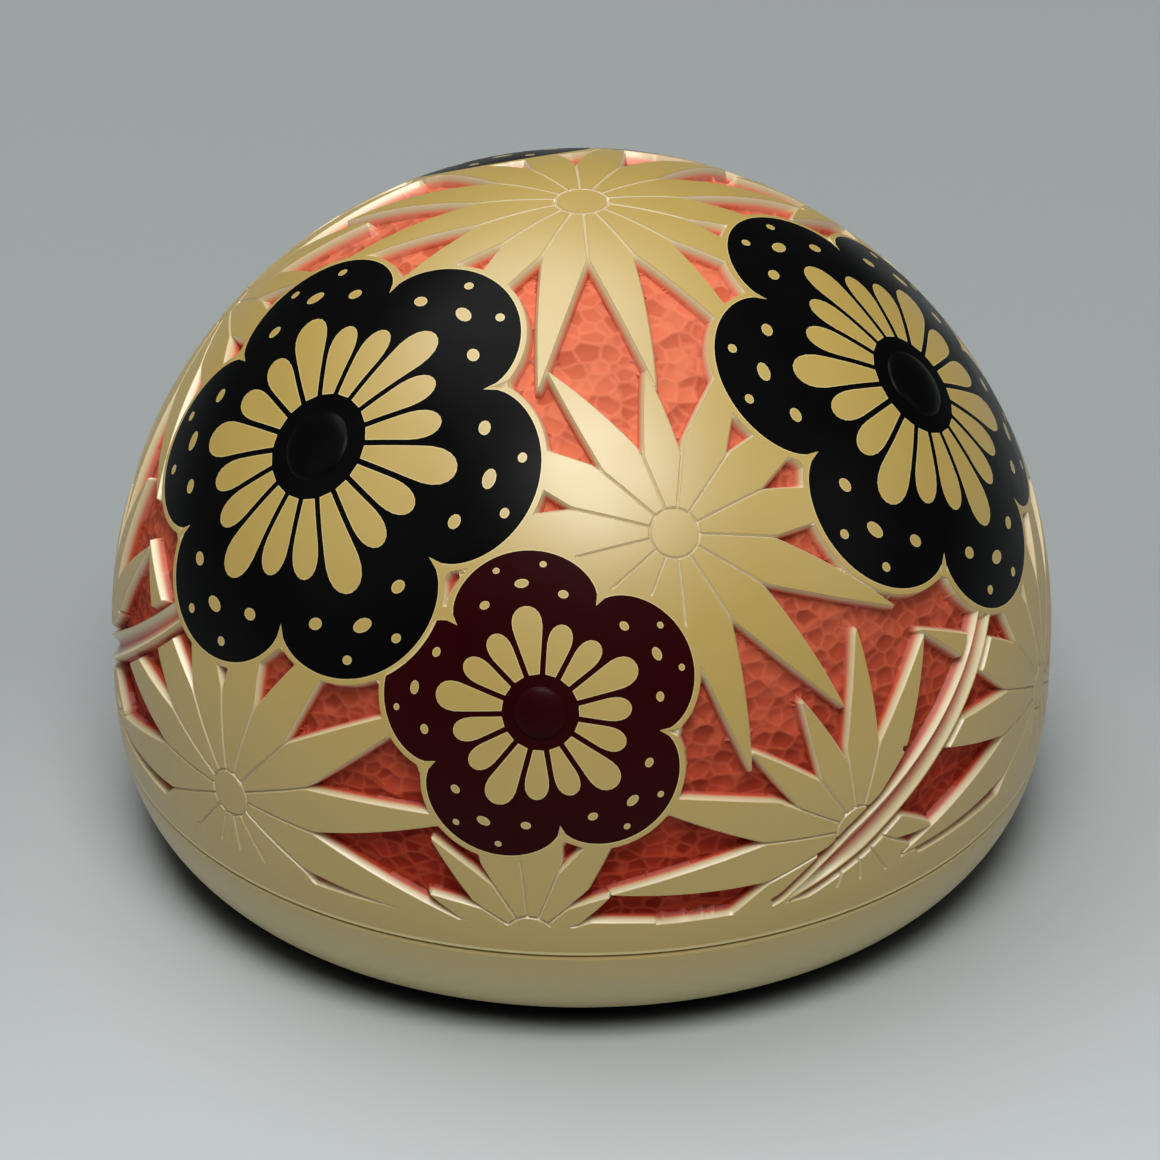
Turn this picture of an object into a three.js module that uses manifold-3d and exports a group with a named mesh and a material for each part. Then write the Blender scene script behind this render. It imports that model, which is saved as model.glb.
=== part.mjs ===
// Carved lacquer incense container: a domed lid that seats round an upstand on a low, footed base.
// Millimetres, +Z up. The origin is the centre of the foot, on the surface that it stands on.
import * as THREE from "three";
import { mergeVertices } from "three/addons/utils/BufferGeometryUtils.js";
import Module from "manifold-3d";

const wasm = await Module();
wasm.setup();

// Outer form
const widestRadius = 43; // radius of the widest circle
const crownHeight = 43; // from the widest circle up to the top of the lid
const lidSkirtHeight = 8.8; // from the lid's rim up to the widest circle
const baseHeight = 8.1; // from the underside up to the base's shoulder
const lowerCurveDepth = 23.2; // where the lower curve would close, below the widest circle
const lowerCurvePower = 3.6; // how square the lower curve is

// Layers of the wall, from the outside in
const tanThickness = 0.6;
const redThickness = 1.2;
const coreThickness = 1.6;
const liningThickness = 0.5;
const bondGap = 0.1; // bond line between two layers of lacquer, or between lacquer and core

// Lid and base where they meet
const seamGap = 0.2; // between the lid's rim and the base's shoulder
const upstandHeight = 3.2; // how far the upstand rises above the shoulder, into the lid
const upstandDepth = 2.6; // how far it is let into the base
const upstandThickness = 1.5;
const upstandChamfer = 0.4;
const lidClearance = 0.3; // between the upstand and the inside of the lid

// Inside and underside of the base
const floorThickness = 2.0; // core under the bowl
const bowlCornerRadius = 2.5;
const bowlCornerMost = 0.9; // share of the bowl's wall that its corner may take
const undersideThickness = 0.4; // black lacquer under the core
const footRadius = 33; // outside of the foot ring
const footWidth = 3;
const footHeight = 1.9;

// Ornament. Lengths run along the surface, fromTop and bearing are degrees from the top and round the axis,
// and turn is a motif's own rotation in radians.
const repeats = 3; // times the ornament repeats round the lid
const firstBearing = -138;
const plainRimHeight = 3; // uncarved strip above the lid's rim
const inlayDepth = 0.35; // depth of the pockets that hold the black and maroon blossoms
const inlayClearance = 0.15;
const outlineWidth = 0.5; // tan line between two blossoms
const bossHeight = 0.5; // how far a blossom's centre stands above the surface
const lobePower = 0.55; // how full the lobes of a blossom are
const blackBlossom = { fromTop: 46, bearing: 0, radius: 21.5, petals: 6, turn: 0.3, notch: 0.26, bossRadius: 3.2 };
const maroonBlossom = { fromTop: 70, bearing: 43, radius: 14, petals: 5, turn: 0.5, notch: 0.26, bossRadius: 2.2 };
const crownHead = { fromTop: 0, bearing: 0, radius: 24, petals: 14, turn: 0 };
const upperHead = { fromTop: 50, bearing: 62, radius: 22, petals: 13, turn: 0.1 };
const frontHead = { fromTop: 90, bearing: 2, radius: 25, petals: 14, turn: 0.2 };
const backHead = { fromTop: 90, bearing: 82, radius: 23, petals: 14, turn: 0.1 };
const petalsPart = 0.46; // share of a head's radius at which the ground opens between its petals
const gapSpread = 0.7; // how much of the head's edge the openings take
const petalTip = 0.4; // tan left round a head, between its openings and those of the heads it lies over

// Smoothness
const facets = 28; // flats round the axis
const crownRows = 7;
const skirtRows = 2;
const baseRows = 4;
const cornerRows = 3;
const lobePoints = 4; // points on the edge of each blossom petal
const borePoints = 12;
const domeRows = 3;
const headPoints = 24; // points on the edge of a head

// Working allowances of the cutting solids
const aboveSurface = 3; // how far they stand proud of the wall
const coneDepth = 16; // how far below the wall the cones through it start
const weldDistance = 1e-4;
const searchSteps = 40;

// Levels, insets and radii worked out from the sizes above
const undersideLevel = footHeight + bondGap;
const coreLevel = undersideLevel + undersideThickness + bondGap;
const shoulderLevel = undersideLevel + baseHeight;
const rimLevel = shoulderLevel + seamGap;
const widestLevel = shoulderLevel + lidSkirtHeight;
const redInset = tanThickness + bondGap;
const coreInset = redInset + redThickness + bondGap;
const liningInset = coreInset + coreThickness + bondGap;
const wallThickness = liningInset + liningThickness;
const upstandRadius = wallPoint(turnAtLevel(rimLevel, wallThickness), wallThickness).x - lidClearance;
const upstandBore = upstandRadius - upstandThickness;
const rebateLevel = shoulderLevel - upstandDepth;
const ledgeLevel = rebateLevel - bondGap;
const bowlLevel = coreLevel + floorThickness;
const bowlRadius = upstandBore + liningThickness + bondGap;

const lacquer = {
  tan: new THREE.MeshStandardMaterial({ color: 0xb9a273, roughness: 0.38, metalness: 0 }),
  red: new THREE.MeshStandardMaterial({ color: 0xb73226, roughness: 0.45, metalness: 0 }),
  black: new THREE.MeshStandardMaterial({ color: 0x070708, roughness: 0.22, metalness: 0 }),
  maroon: new THREE.MeshStandardMaterial({ color: 0x260306, roughness: 0.25, metalness: 0 }),
  core: new THREE.MeshStandardMaterial({ color: 0x5a4632, roughness: 0.8, metalness: 0 }),
};

// A point of the wall, inset from the outer surface. Turn runs from 0 at the top, through 1 at the widest
// circle, to 2 where the lower curve closes.
function wallPoint(turn, inset) {
  if (turn <= 1) {
    const angle = (turn * Math.PI) / 2;
    const point = new THREE.Vector2(widestRadius * Math.sin(angle), crownHeight * Math.cos(angle));
    const normal = new THREE.Vector2(Math.sin(angle) / widestRadius, Math.cos(angle) / crownHeight).normalize();
    return point.addScaledVector(normal, -inset).add(new THREE.Vector2(0, widestLevel));
  }
  const drop = (turn - 1) * lowerCurveDepth;
  const radius = widestRadius * Math.pow(1 - Math.pow(drop / lowerCurveDepth, lowerCurvePower), 1 / lowerCurvePower);
  const normal = new THREE.Vector2(
    Math.pow(radius / widestRadius, lowerCurvePower - 1) / widestRadius,
    -Math.pow(drop / lowerCurveDepth, lowerCurvePower - 1) / lowerCurveDepth,
  ).normalize();
  return new THREE.Vector2(radius, widestLevel - drop).addScaledVector(normal, -inset);
}

// Where the inset wall passes a level below the widest circle.
function turnAtLevel(level, inset) {
  let above = 1;
  let below = 2;
  for (let i = 0; i < searchSteps; i += 1) {
    const middle = (above + below) / 2;
    if (wallPoint(middle, inset).y > level) above = middle;
    else below = middle;
  }
  return (above + below) / 2;
}

function wallBetween(firstTurn, lastTurn, rows, inset) {
  return Array.from({ length: rows + 1 }, (_, i) => wallPoint(firstTurn + ((lastTurn - firstTurn) * i) / rows, inset));
}

// From the top of the lid down to its rim.
function lidCurve(inset) {
  const crown = wallBetween(0, 1, crownRows, inset);
  crown[0].x = 0;
  return [...crown, ...wallBetween(1, turnAtLevel(rimLevel, inset), skirtRows, inset).slice(1)];
}

// The base's outer curve, from one level down to another.
function baseCurve(inset, topLevel, bottomLevel, rows) {
  return wallBetween(turnAtLevel(topLevel, inset), turnAtLevel(bottomLevel, inset), rows, inset);
}

// The bowl's curve, raised off the core by an inset, from the axis out to its wall and up to the ledge.
function bowlCurve(inset) {
  const round = Math.min(bowlCornerRadius, (ledgeLevel - bowlLevel) * bowlCornerMost);
  const centre = new THREE.Vector2(bowlRadius - round, bowlLevel + round);
  const radius = round - inset;
  const corner = Array.from({ length: cornerRows + 1 }, (_, i) => {
    const angle = (Math.PI / 2) * (i / cornerRows - 1);
    return new THREE.Vector2(centre.x + radius * Math.cos(angle), centre.y + radius * Math.sin(angle));
  });
  return [new THREE.Vector2(0, centre.y - radius), ...corner, new THREE.Vector2(centre.x + radius, ledgeLevel)];
}

// A three.js geometry as a solid whose shared vertices are merged.
function solidOf(geometry) {
  const bare = geometry.clone();
  bare.deleteAttribute("normal");
  bare.deleteAttribute("uv");
  const merged = mergeVertices(bare, weldDistance);
  const mesh = new wasm.Mesh({
    numProp: 3,
    vertProperties: merged.attributes.position.array,
    triVerts: new Uint32Array(merged.index.array),
  });
  return new wasm.Manifold(mesh);
}

// A profile of radius and height turned about the Z axis. It is listed clockwise and starts and ends on the axis.
function turned(profile, sides = facets) {
  const geometry = new THREE.LatheGeometry([...profile].reverse(), sides);
  return solidOf(geometry.rotateX(Math.PI / 2));
}

// A profile that doesn't reach the axis, closed and turned.
function turnedRing(profile) {
  return turned([...profile, profile[0]]);
}

// A layer of the lid between two insets of the wall.
function shell(outerInset, innerInset) {
  return turned([...lidCurve(outerInset), ...lidCurve(innerInset).reverse()]);
}

function ring(outerRadius, innerRadius, bottom, top) {
  const corners = [[innerRadius, top], [outerRadius, top], [outerRadius, bottom], [innerRadius, bottom]];
  return turnedRing(corners.map(([radius, level]) => new THREE.Vector2(radius, level)));
}

function union(solids) {
  return solids.reduce((joined, solid) => joined.add(solid));
}

// The directions, from the middle of the widest circle, that a motif's own flat map is laid out in.
function motifFrame(fromTop, bearing) {
  const tilt = THREE.MathUtils.degToRad(fromTop);
  const round = THREE.MathUtils.degToRad(bearing);
  const out = new THREE.Vector3(
    Math.sin(tilt) * Math.cos(round), Math.sin(tilt) * Math.sin(round), Math.cos(tilt),
  );
  const east = new THREE.Vector3(-Math.sin(round), Math.cos(round), 0);
  return { tilt, round, out, east, north: new THREE.Vector3().crossVectors(out, east) };
}

// A cone through the wall with the given outline. The outline's points are x and y along the surface.
function coneThrough(frame, outline) {
  const near = Math.min(widestRadius, crownHeight) - coneDepth;
  const far = Math.max(widestRadius, crownHeight) + 3 * aboveSurface;
  const flat = outline.map((point) => {
    const reach = Math.tan(point.length() / widestRadius);
    return point.clone().setLength(reach);
  });
  if (THREE.ShapeUtils.isClockWise(flat)) flat.reverse();
  const triangles = THREE.ShapeUtils.triangulateShape(flat, []);
  const place = (point, distance) =>
    frame.out.clone().addScaledVector(frame.east, point.x).addScaledVector(frame.north, point.y)
      .multiplyScalar(distance).add(new THREE.Vector3(0, 0, widestLevel)).toArray();
  const positions = [...flat.flatMap((point) => place(point, near)), ...flat.flatMap((point) => place(point, far))];
  const count = flat.length;
  const index = [];
  for (const [a, b, c] of triangles) index.push(a, c, b, a + count, b + count, c + count);
  for (let i = 0; i < count; i += 1) {
    const next = (i + 1) % count;
    index.push(i, next, next + count, i, next + count, i + count);
  }
  const geometry = new THREE.BufferGeometry();
  geometry.setAttribute("position", new THREE.Float32BufferAttribute(positions, 3));
  geometry.setIndex(index);
  return solidOf(geometry);
}

function polar(distance, angle) {
  return new THREE.Vector2(distance * Math.cos(angle), distance * Math.sin(angle));
}

// Round-lobed outline of a blossom, grown outwards by a margin.
function blossomOutline(blossom, margin) {
  const count = blossom.petals * lobePoints;
  return Array.from({ length: count }, (_, i) => {
    const angle = (i / count) * 2 * Math.PI;
    const lobe = Math.pow(Math.abs(Math.cos((angle * blossom.petals) / 2)), lobePower);
    return polar(blossom.radius * (1 - blossom.notch * (1 - lobe)) + margin, angle + blossom.turn);
  });
}

// The opening between two pointed petals of a carved head, which widens towards their tips.
function petalGap(head, petal) {
  const step = (2 * Math.PI) / head.petals;
  const middle = head.turn + (petal + 0.5) * step;
  const tipAngle = (step / 2) * gapSpread;
  const reach = head.radius * Math.cos(tipAngle);
  return [
    polar(head.radius * petalsPart, middle), polar(reach, middle - tipAngle), polar(reach, middle + tipAngle),
  ];
}

function headGaps(head, bearing) {
  const frame = motifFrame(head.fromTop, bearing + head.bearing);
  return union(Array.from({ length: head.petals }, (_, i) => coneThrough(frame, petalGap(head, i))));
}

function headArea(head, bearing) {
  const outline = Array.from({ length: headPoints }, (_, i) => (
    polar(head.radius + petalTip, (i / headPoints) * 2 * Math.PI)
  ));
  return coneThrough(motifFrame(head.fromTop, bearing + head.bearing), outline);
}

// The openings of all heads. Each head covers the ones that come after it.
function carvedGaps() {
  const kinds = [[crownHead, [firstBearing]], [upperHead, bearings], [frontHead, bearings], [backHead, bearings]];
  const gaps = [];
  let covered = null;
  for (const [head, places] of kinds) {
    const opened = union(places.map((bearing) => headGaps(head, bearing)));
    const area = union(places.map((bearing) => headArea(head, bearing)));
    gaps.push(covered ? opened.subtract(covered) : opened);
    covered = covered ? covered.add(area) : area;
  }
  return union(gaps);
}

function cutterDownTo(inset) {
  return shell(-aboveSurface, inset);
}

const bearings = Array.from({ length: repeats }, (_, i) => firstBearing + (i * 360) / repeats);

function blossomsLike(spec, name, material) {
  return bearings.map((bearing, i) => {
    const frame = motifFrame(spec.fromTop, bearing + spec.bearing);
    return { name: `${name}_${i + 1}`, spec, material, frame };
  });
}

const blackBlossoms = blossomsLike(blackBlossom, "black_blossom", lacquer.black);
const maroonBlossoms = blossomsLike(maroonBlossom, "maroon_blossom", lacquer.maroon);

function blossomArea({ spec, frame }, margin) {
  return coneThrough(frame, blossomOutline(spec, margin));
}

// The area of the blossoms' pockets, grown by a margin. The black ones lie over the maroon ones.
const blackCover = union(blackBlossoms.map((blossom) => blossomArea(blossom, outlineWidth)));
function pocketAreas(margin) {
  const black = blackBlossoms.map((blossom) => blossomArea(blossom, margin));
  const maroon = maroonBlossoms.map((blossom) => blossomArea(blossom, margin).subtract(blackCover));
  return union([...black, ...maroon]);
}

// The tan layer: opened between the petals of the carved heads, and pocketed for the blossoms.
function tanLayer() {
  const outside = widestRadius + aboveSurface;
  const rimBand = ring(outside, upstandBore, rimLevel - aboveSurface, rimLevel + plainRimHeight);
  const uncarved = union([...blackBlossoms, ...maroonBlossoms].map((blossom) => blossomArea(blossom, outlineWidth)));
  const carved = carvedGaps().subtract(uncarved).subtract(rimBand);
  const pockets = pocketAreas(inlayClearance).intersect(cutterDownTo(inlayDepth));
  return shell(0, tanThickness).subtract(carved).subtract(pockets);
}

// An inlaid blossom: a curved plate, bored for its boss.
function blossomInlay(blossom) {
  const bore = Array.from({ length: borePoints }, (_, i) => (
    polar(blossom.spec.bossRadius + inlayClearance, (i / borePoints) * 2 * Math.PI)
  ));
  const plate = blossomArea(blossom, 0).subtract(coneThrough(blossom.frame, bore));
  const shown = maroonBlossoms.includes(blossom) ? plate.subtract(blackCover) : plate;
  return shown.intersect(shell(0, inlayDepth - bondGap));
}

// A blossom's centre: a low dome on a plug that fills the bore of the inlay.
function blossomBoss({ spec, frame, name, material }) {
  const domeRadius = (spec.bossRadius ** 2 + bossHeight ** 2) / (2 * bossHeight);
  const spread = Math.asin(spec.bossRadius / domeRadius);
  const dome = Array.from({ length: domeRows + 1 }, (_, i) => {
    const angle = (spread * i) / domeRows;
    return new THREE.Vector2(domeRadius * Math.sin(angle), bossHeight - domeRadius * (1 - Math.cos(angle)));
  });
  const bottom = bondGap - inlayDepth;
  const plug = [new THREE.Vector2(spec.bossRadius, bottom), new THREE.Vector2(0, bottom)];
  const mesh = named(name.replace("blossom", "boss"), material, turned([...dome, ...plug], borePoints));
  const angle = Math.atan2(crownHeight * Math.sin(frame.tilt), widestRadius * Math.cos(frame.tilt));
  const seat = wallPoint(angle / (Math.PI / 2), 0);
  mesh.position.set(seat.x * Math.cos(frame.round), seat.x * Math.sin(frame.round), seat.y);
  mesh.quaternion.setFromRotationMatrix(new THREE.Matrix4().makeBasis(frame.east, frame.north, frame.out));
  return mesh;
}

// The base's core: a round-cornered bowl with a rebate for the upstand.
function baseCore() {
  const rebateRadius = upstandRadius + bondGap;
  const rebate = [new THREE.Vector2(rebateRadius, ledgeLevel), new THREE.Vector2(rebateRadius, shoulderLevel)];
  const outside = baseCurve(tanThickness + bondGap, shoulderLevel, coreLevel, baseRows);
  return turned([...bowlCurve(0), ...rebate, ...outside, new THREE.Vector2(0, coreLevel)]);
}

function baseTanLayer() {
  const outside = baseCurve(0, shoulderLevel, undersideLevel, baseRows);
  const inside = baseCurve(tanThickness, shoulderLevel, undersideLevel, baseRows);
  return turnedRing([...outside, ...inside.reverse()]);
}

function baseLining() {
  return turned([...bowlCurve(bondGap + liningThickness), ...bowlCurve(bondGap).reverse()]);
}

function baseUnderside() {
  const top = undersideLevel + undersideThickness;
  const edge = baseCurve(tanThickness + bondGap, top, undersideLevel, 1);
  return turned([new THREE.Vector2(0, top), ...edge, new THREE.Vector2(0, undersideLevel)]);
}

function upstand() {
  const top = shoulderLevel + upstandHeight;
  return turnedRing([
    new THREE.Vector2(upstandBore, top),
    new THREE.Vector2(upstandRadius - upstandChamfer, top),
    new THREE.Vector2(upstandRadius, top - upstandChamfer),
    new THREE.Vector2(upstandRadius, rebateLevel),
    new THREE.Vector2(upstandBore, rebateLevel),
  ]);
}

function named(name, material, solid) {
  const { numProp, vertProperties, triVerts } = solid.getMesh();
  const geometry = new THREE.BufferGeometry();
  geometry.setAttribute("position", new THREE.Float32BufferAttribute(vertProperties, numProp));
  geometry.setIndex(new THREE.Uint32BufferAttribute(triVerts, 1));
  geometry.computeVertexNormals();
  const mesh = new THREE.Mesh(geometry, material);
  mesh.name = name;
  return mesh;
}

const blossoms = [...blackBlossoms, ...maroonBlossoms];
const lid = new THREE.Group();
lid.add(named("lid_tan_layer", lacquer.tan, tanLayer()));
lid.add(named("lid_red_layer", lacquer.red, shell(redInset, redInset + redThickness)));
lid.add(named("lid_core", lacquer.core, shell(coreInset, coreInset + coreThickness)));
lid.add(named("lid_lining", lacquer.black, shell(liningInset, wallThickness)));
for (const blossom of blossoms) lid.add(named(blossom.name, blossom.material, blossomInlay(blossom)));
for (const blossom of blossoms) lid.add(blossomBoss(blossom));

const base = new THREE.Group();
base.add(named("base_core", lacquer.core, baseCore()));
base.add(named("base_tan_layer", lacquer.tan, baseTanLayer()));
base.add(named("base_lining", lacquer.black, baseLining()));
base.add(named("base_underside", lacquer.black, baseUnderside()));
base.add(named("seat_upstand", lacquer.black, upstand()));
base.add(named("foot_ring", lacquer.black, ring(footRadius, footRadius - footWidth, 0, footHeight)));

const container = new THREE.Group();
container.add(lid, base);

export default container;
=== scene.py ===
import math

import bpy
import numpy as np
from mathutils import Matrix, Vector, geometry, kdtree


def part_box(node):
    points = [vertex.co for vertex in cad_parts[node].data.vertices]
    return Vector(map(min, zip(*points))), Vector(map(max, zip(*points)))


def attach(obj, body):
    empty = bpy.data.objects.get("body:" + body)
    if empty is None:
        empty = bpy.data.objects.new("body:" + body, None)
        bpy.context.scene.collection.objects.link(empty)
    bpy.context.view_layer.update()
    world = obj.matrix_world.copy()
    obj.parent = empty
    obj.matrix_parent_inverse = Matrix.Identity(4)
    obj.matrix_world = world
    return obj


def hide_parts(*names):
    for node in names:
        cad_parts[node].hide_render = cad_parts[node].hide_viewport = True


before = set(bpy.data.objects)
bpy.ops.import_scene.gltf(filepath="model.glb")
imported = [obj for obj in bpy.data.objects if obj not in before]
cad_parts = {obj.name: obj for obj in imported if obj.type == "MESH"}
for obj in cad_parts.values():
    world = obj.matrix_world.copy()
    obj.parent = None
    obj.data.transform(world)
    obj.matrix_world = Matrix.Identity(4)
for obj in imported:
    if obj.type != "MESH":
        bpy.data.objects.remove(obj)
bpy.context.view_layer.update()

mm = 0.001
tiny = 1e-9
scene = bpy.context.scene
print("frame loaded:", len(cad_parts), "nodes")

# The outer form, read from the frame. Directions run out from the middle of the widest circle.
lidLow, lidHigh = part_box("lid_tan_layer")
baseLow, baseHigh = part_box("base_tan_layer")
form = {
    "radius": lidHigh.x,
    "lowerDepth": 23.2 * mm,  # below the widest circle, where the lower curve would close
    "lowerPower": 3.6,        # how square that curve is
    "top": lidHigh.z,
    "rim": lidLow.z,
    "shoulder": baseHigh.z,
    "underside": baseLow.z,
}
middle = np.array([0, 0, form["top"] - form["radius"]])


def reachOf(directions):
    # How far the surface lies from the middle
    across = np.hypot(directions[:, 0], directions[:, 1]) / form["radius"]
    down = np.minimum(directions[:, 2], 0) / form["lowerDepth"]
    power = form["lowerPower"]
    lower = np.maximum(across ** power + np.abs(down) ** power, tiny) ** (-1 / power)
    return np.where(directions[:, 2] < 0, lower, form["radius"])


def outwardOf(directions):
    points = directions * reachOf(directions)[:, None]
    across = np.maximum(np.hypot(points[:, 0], points[:, 1]), tiny)
    power = form["lowerPower"] - 1
    sideways = (across / form["radius"]) ** power / form["radius"]
    down = -(np.abs(points[:, 2]) / form["lowerDepth"]) ** power / form["lowerDepth"]
    lower = np.column_stack([points[:, :2] / across[:, None] * sideways[:, None], down])
    normals = np.where(directions[:, 2:] < 0, lower, directions)
    return normals / np.linalg.norm(normals, axis=1)[:, None]


def surfaceOf(directions, depth=0.0):
    points = middle + directions * reachOf(directions)[:, None]
    return points - outwardOf(directions) * np.broadcast_to(depth, len(directions))[:, None]


# A flat chart of the dome that keeps angles true, for laying out the carving
def toChart(directions):
    return directions[:, :2] / (1 + directions[:, 2:])


def fromChart(chart):
    square = (chart ** 2).sum(axis=1)[:, None]
    return np.hstack([2 * chart, 1 - square]) / (1 + square)


# A motif's own flat map: distance along the surface from its centre, and the angle round it
def axesAt(fromTop, bearing):
    tilt, turn = math.radians(fromTop), math.radians(bearing)
    out = np.array([math.sin(tilt) * math.cos(turn), math.sin(tilt) * math.sin(turn), math.cos(tilt)])
    east = np.array([-math.sin(turn), math.cos(turn), 0.0])
    return out, east, np.cross(out, east)


def toMotif(axes, directions):
    out, east, north = axes
    distance = np.arccos(np.clip(directions @ out, -1, 1)) * form["radius"]
    return distance, np.arctan2(directions @ north, directions @ east)


def fromMotif(axes, distance, turn):
    out, east, north = axes
    angle = np.broadcast_to(distance, np.shape(turn)) / form["radius"]
    sideways = np.cos(turn)[:, None] * east + np.sin(turn)[:, None] * north
    return np.cos(angle)[:, None] * out + np.sin(angle)[:, None] * sideways


def wrap(turn, step):
    return (turn + step / 2) % step - step / 2


def turnsRound(count):
    return np.arange(count) / count * 2 * math.pi


# Bearings and angles from the top are in degrees, and a motif's own turn is in radians
ornament = {
    "repeats": 3,
    "firstBearing": -138,
    "groove": 0.34 * mm,    # width of the cut between two petals
    "spacing": 0.45 * mm,   # between the points of an outline
    "plainRim": 3 * mm,     # uncarved strip above the rim
    "depth": 1.15 * mm,     # of the carved ground
    "slope": 2.6,           # of the walls down to it
    "flare": 1.5,           # above 1, narrow cuts are shallower and more open
    "gougeFrom": 0.8,       # share of a wall's foot at which the gouge marks begin
    "gougeFade": 0.4 * mm,  # over which they reach their full depth
    "ground": 0.42 * mm,    # mesh size on the ground
    "tops": 1.5 * mm,       # mesh size on the uncarved surface
    "paleLine": 0.12 * mm,  # cut edge of the tan that shows along the black
    "lip": 0.18 * mm,       # painted highlight along the rim's edge, and as much again where it fades
    "rimSteps": 180,
    "plainSteps": 300,
    "insideRings": 24,
    "pocket": 0.35 * mm,    # depth of the pockets under the black and maroon
    "plate": 0.33 * mm,     # thickness of the black and maroon inlays
    "wall": 1.9 * mm,       # thickness of the lacquer on the lid
}
toe = ornament["depth"] / ornament["slope"]  # from a wall's upper edge to its foot
# What a place on the lid is
ground, tan, rib, bossHole, black, maroon = range(6)
bearings = [ornament["firstBearing"] + 360 * k / ornament["repeats"] for k in range(ornament["repeats"])]

blossomKinds = [
    {"name": "blackBlossom", "label": black, "fromTop": 46, "bearing": 0, "radius": 21.5 * mm, "petals": 6,
     "turn": 0.3, "notch": 0.26, "boss": 3.2 * mm, "outline": 0.5 * mm, "vein": 0.54 * mm},
    {"name": "maroonBlossom", "label": maroon, "fromTop": 70, "bearing": 43, "radius": 14 * mm, "petals": 5,
     "turn": 0.5, "notch": 0.26, "boss": 2.2 * mm, "outline": 0.5 * mm, "vein": 0.5 * mm},
]
lobeRule = {"power": 0.55, "nudge": 1e-3, "steepest": 2.5, "bossPoints": 28}
# Tan cells round the centre, as shares of a petal or of the radius
cellRule = {"perPetal": 3, "far": 0.66, "sideFar": 0.56, "clear": 0.08, "round": 0.16,
            "points": 12, "crowding": 1.3}
# Each spot's place, as a share of the petal's turn and of the radius, and its half length and half width
# on a blossom of the base radius
spotRule = {
    "base": 20 * mm, "points": 12,
    "places": [
        (0, 0.80, 0.9 * mm, 0.55 * mm),
        (-0.27, 0.74, 0.65 * mm, 0.5 * mm), (0.27, 0.74, 0.65 * mm, 0.5 * mm),
        (-0.13, 0.91, 0.45 * mm, 0.38 * mm), (0.13, 0.91, 0.45 * mm, 0.38 * mm),
    ],
}


def blossomEdge(blossom, turn):
    lobe = np.abs(np.cos((turn - blossom["turn"]) * blossom["petals"] / 2)) ** lobeRule["power"]
    return blossom["radius"] * (1 - blossom["notch"] * (1 - lobe))


def grownEdge(blossom, turn, grow):
    # The edge, moved out by a width that is measured across it
    edge, nudge = blossomEdge(blossom, turn), lobeRule["nudge"]
    ahead, behind = blossomEdge(blossom, turn + nudge), blossomEdge(blossom, turn - nudge)
    steep = (ahead - behind) / (2 * nudge) / edge
    return edge + grow * np.minimum(np.sqrt(1 + steep ** 2), lobeRule["steepest"])


def cellHalf(blossom, inMiddle, along):
    delta = 2 * math.pi / blossom["petals"] / cellRule["perPetal"]
    far = blossom["radius"] * (cellRule["far"] if inMiddle else cellRule["sideFar"])
    near = blossom["boss"] + cellRule["clear"] * blossom["radius"]
    tip = np.clip((far - along) / (cellRule["round"] * blossom["radius"]), 0, 1)
    half = (along * math.tan(delta / 2) - blossom["vein"] / 2) * np.sqrt(1 - (1 - tip) ** 2)
    return half, near, far


def markBlossom(blossom, directions):
    distance, turn = toMotif(blossom["axes"], directions)
    step = 2 * math.pi / blossom["petals"]
    delta = step / cellRule["perPetal"]
    inPetal = wrap(turn - blossom["turn"], step)
    label = np.full(len(directions), ground)
    claimed = distance < grownEdge(blossom, turn, blossom["outline"])
    label[claimed] = tan
    inside = distance < blossomEdge(blossom, turn)
    label[inside] = blossom["label"]
    for j in (-1, 0, 1):
        along, aside = distance * np.cos(inPetal - j * delta), distance * np.sin(inPetal - j * delta)
        half, near, far = cellHalf(blossom, j == 0, along)
        label[inside & (along > near) & (along < far) & (np.abs(aside) < half)] = tan
    size = blossom["radius"] / spotRule["base"]
    for share, reach, long, short in spotRule["places"]:
        along = distance * np.cos(inPetal - share * step) - blossom["radius"] * reach
        aside = distance * np.sin(inPetal - share * step)
        label[inside & ((along / (short * size)) ** 2 + (aside / (long * size)) ** 2 < 1)] = tan
    label[distance < blossom["boss"]] = bossHole
    return label, claimed


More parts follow.
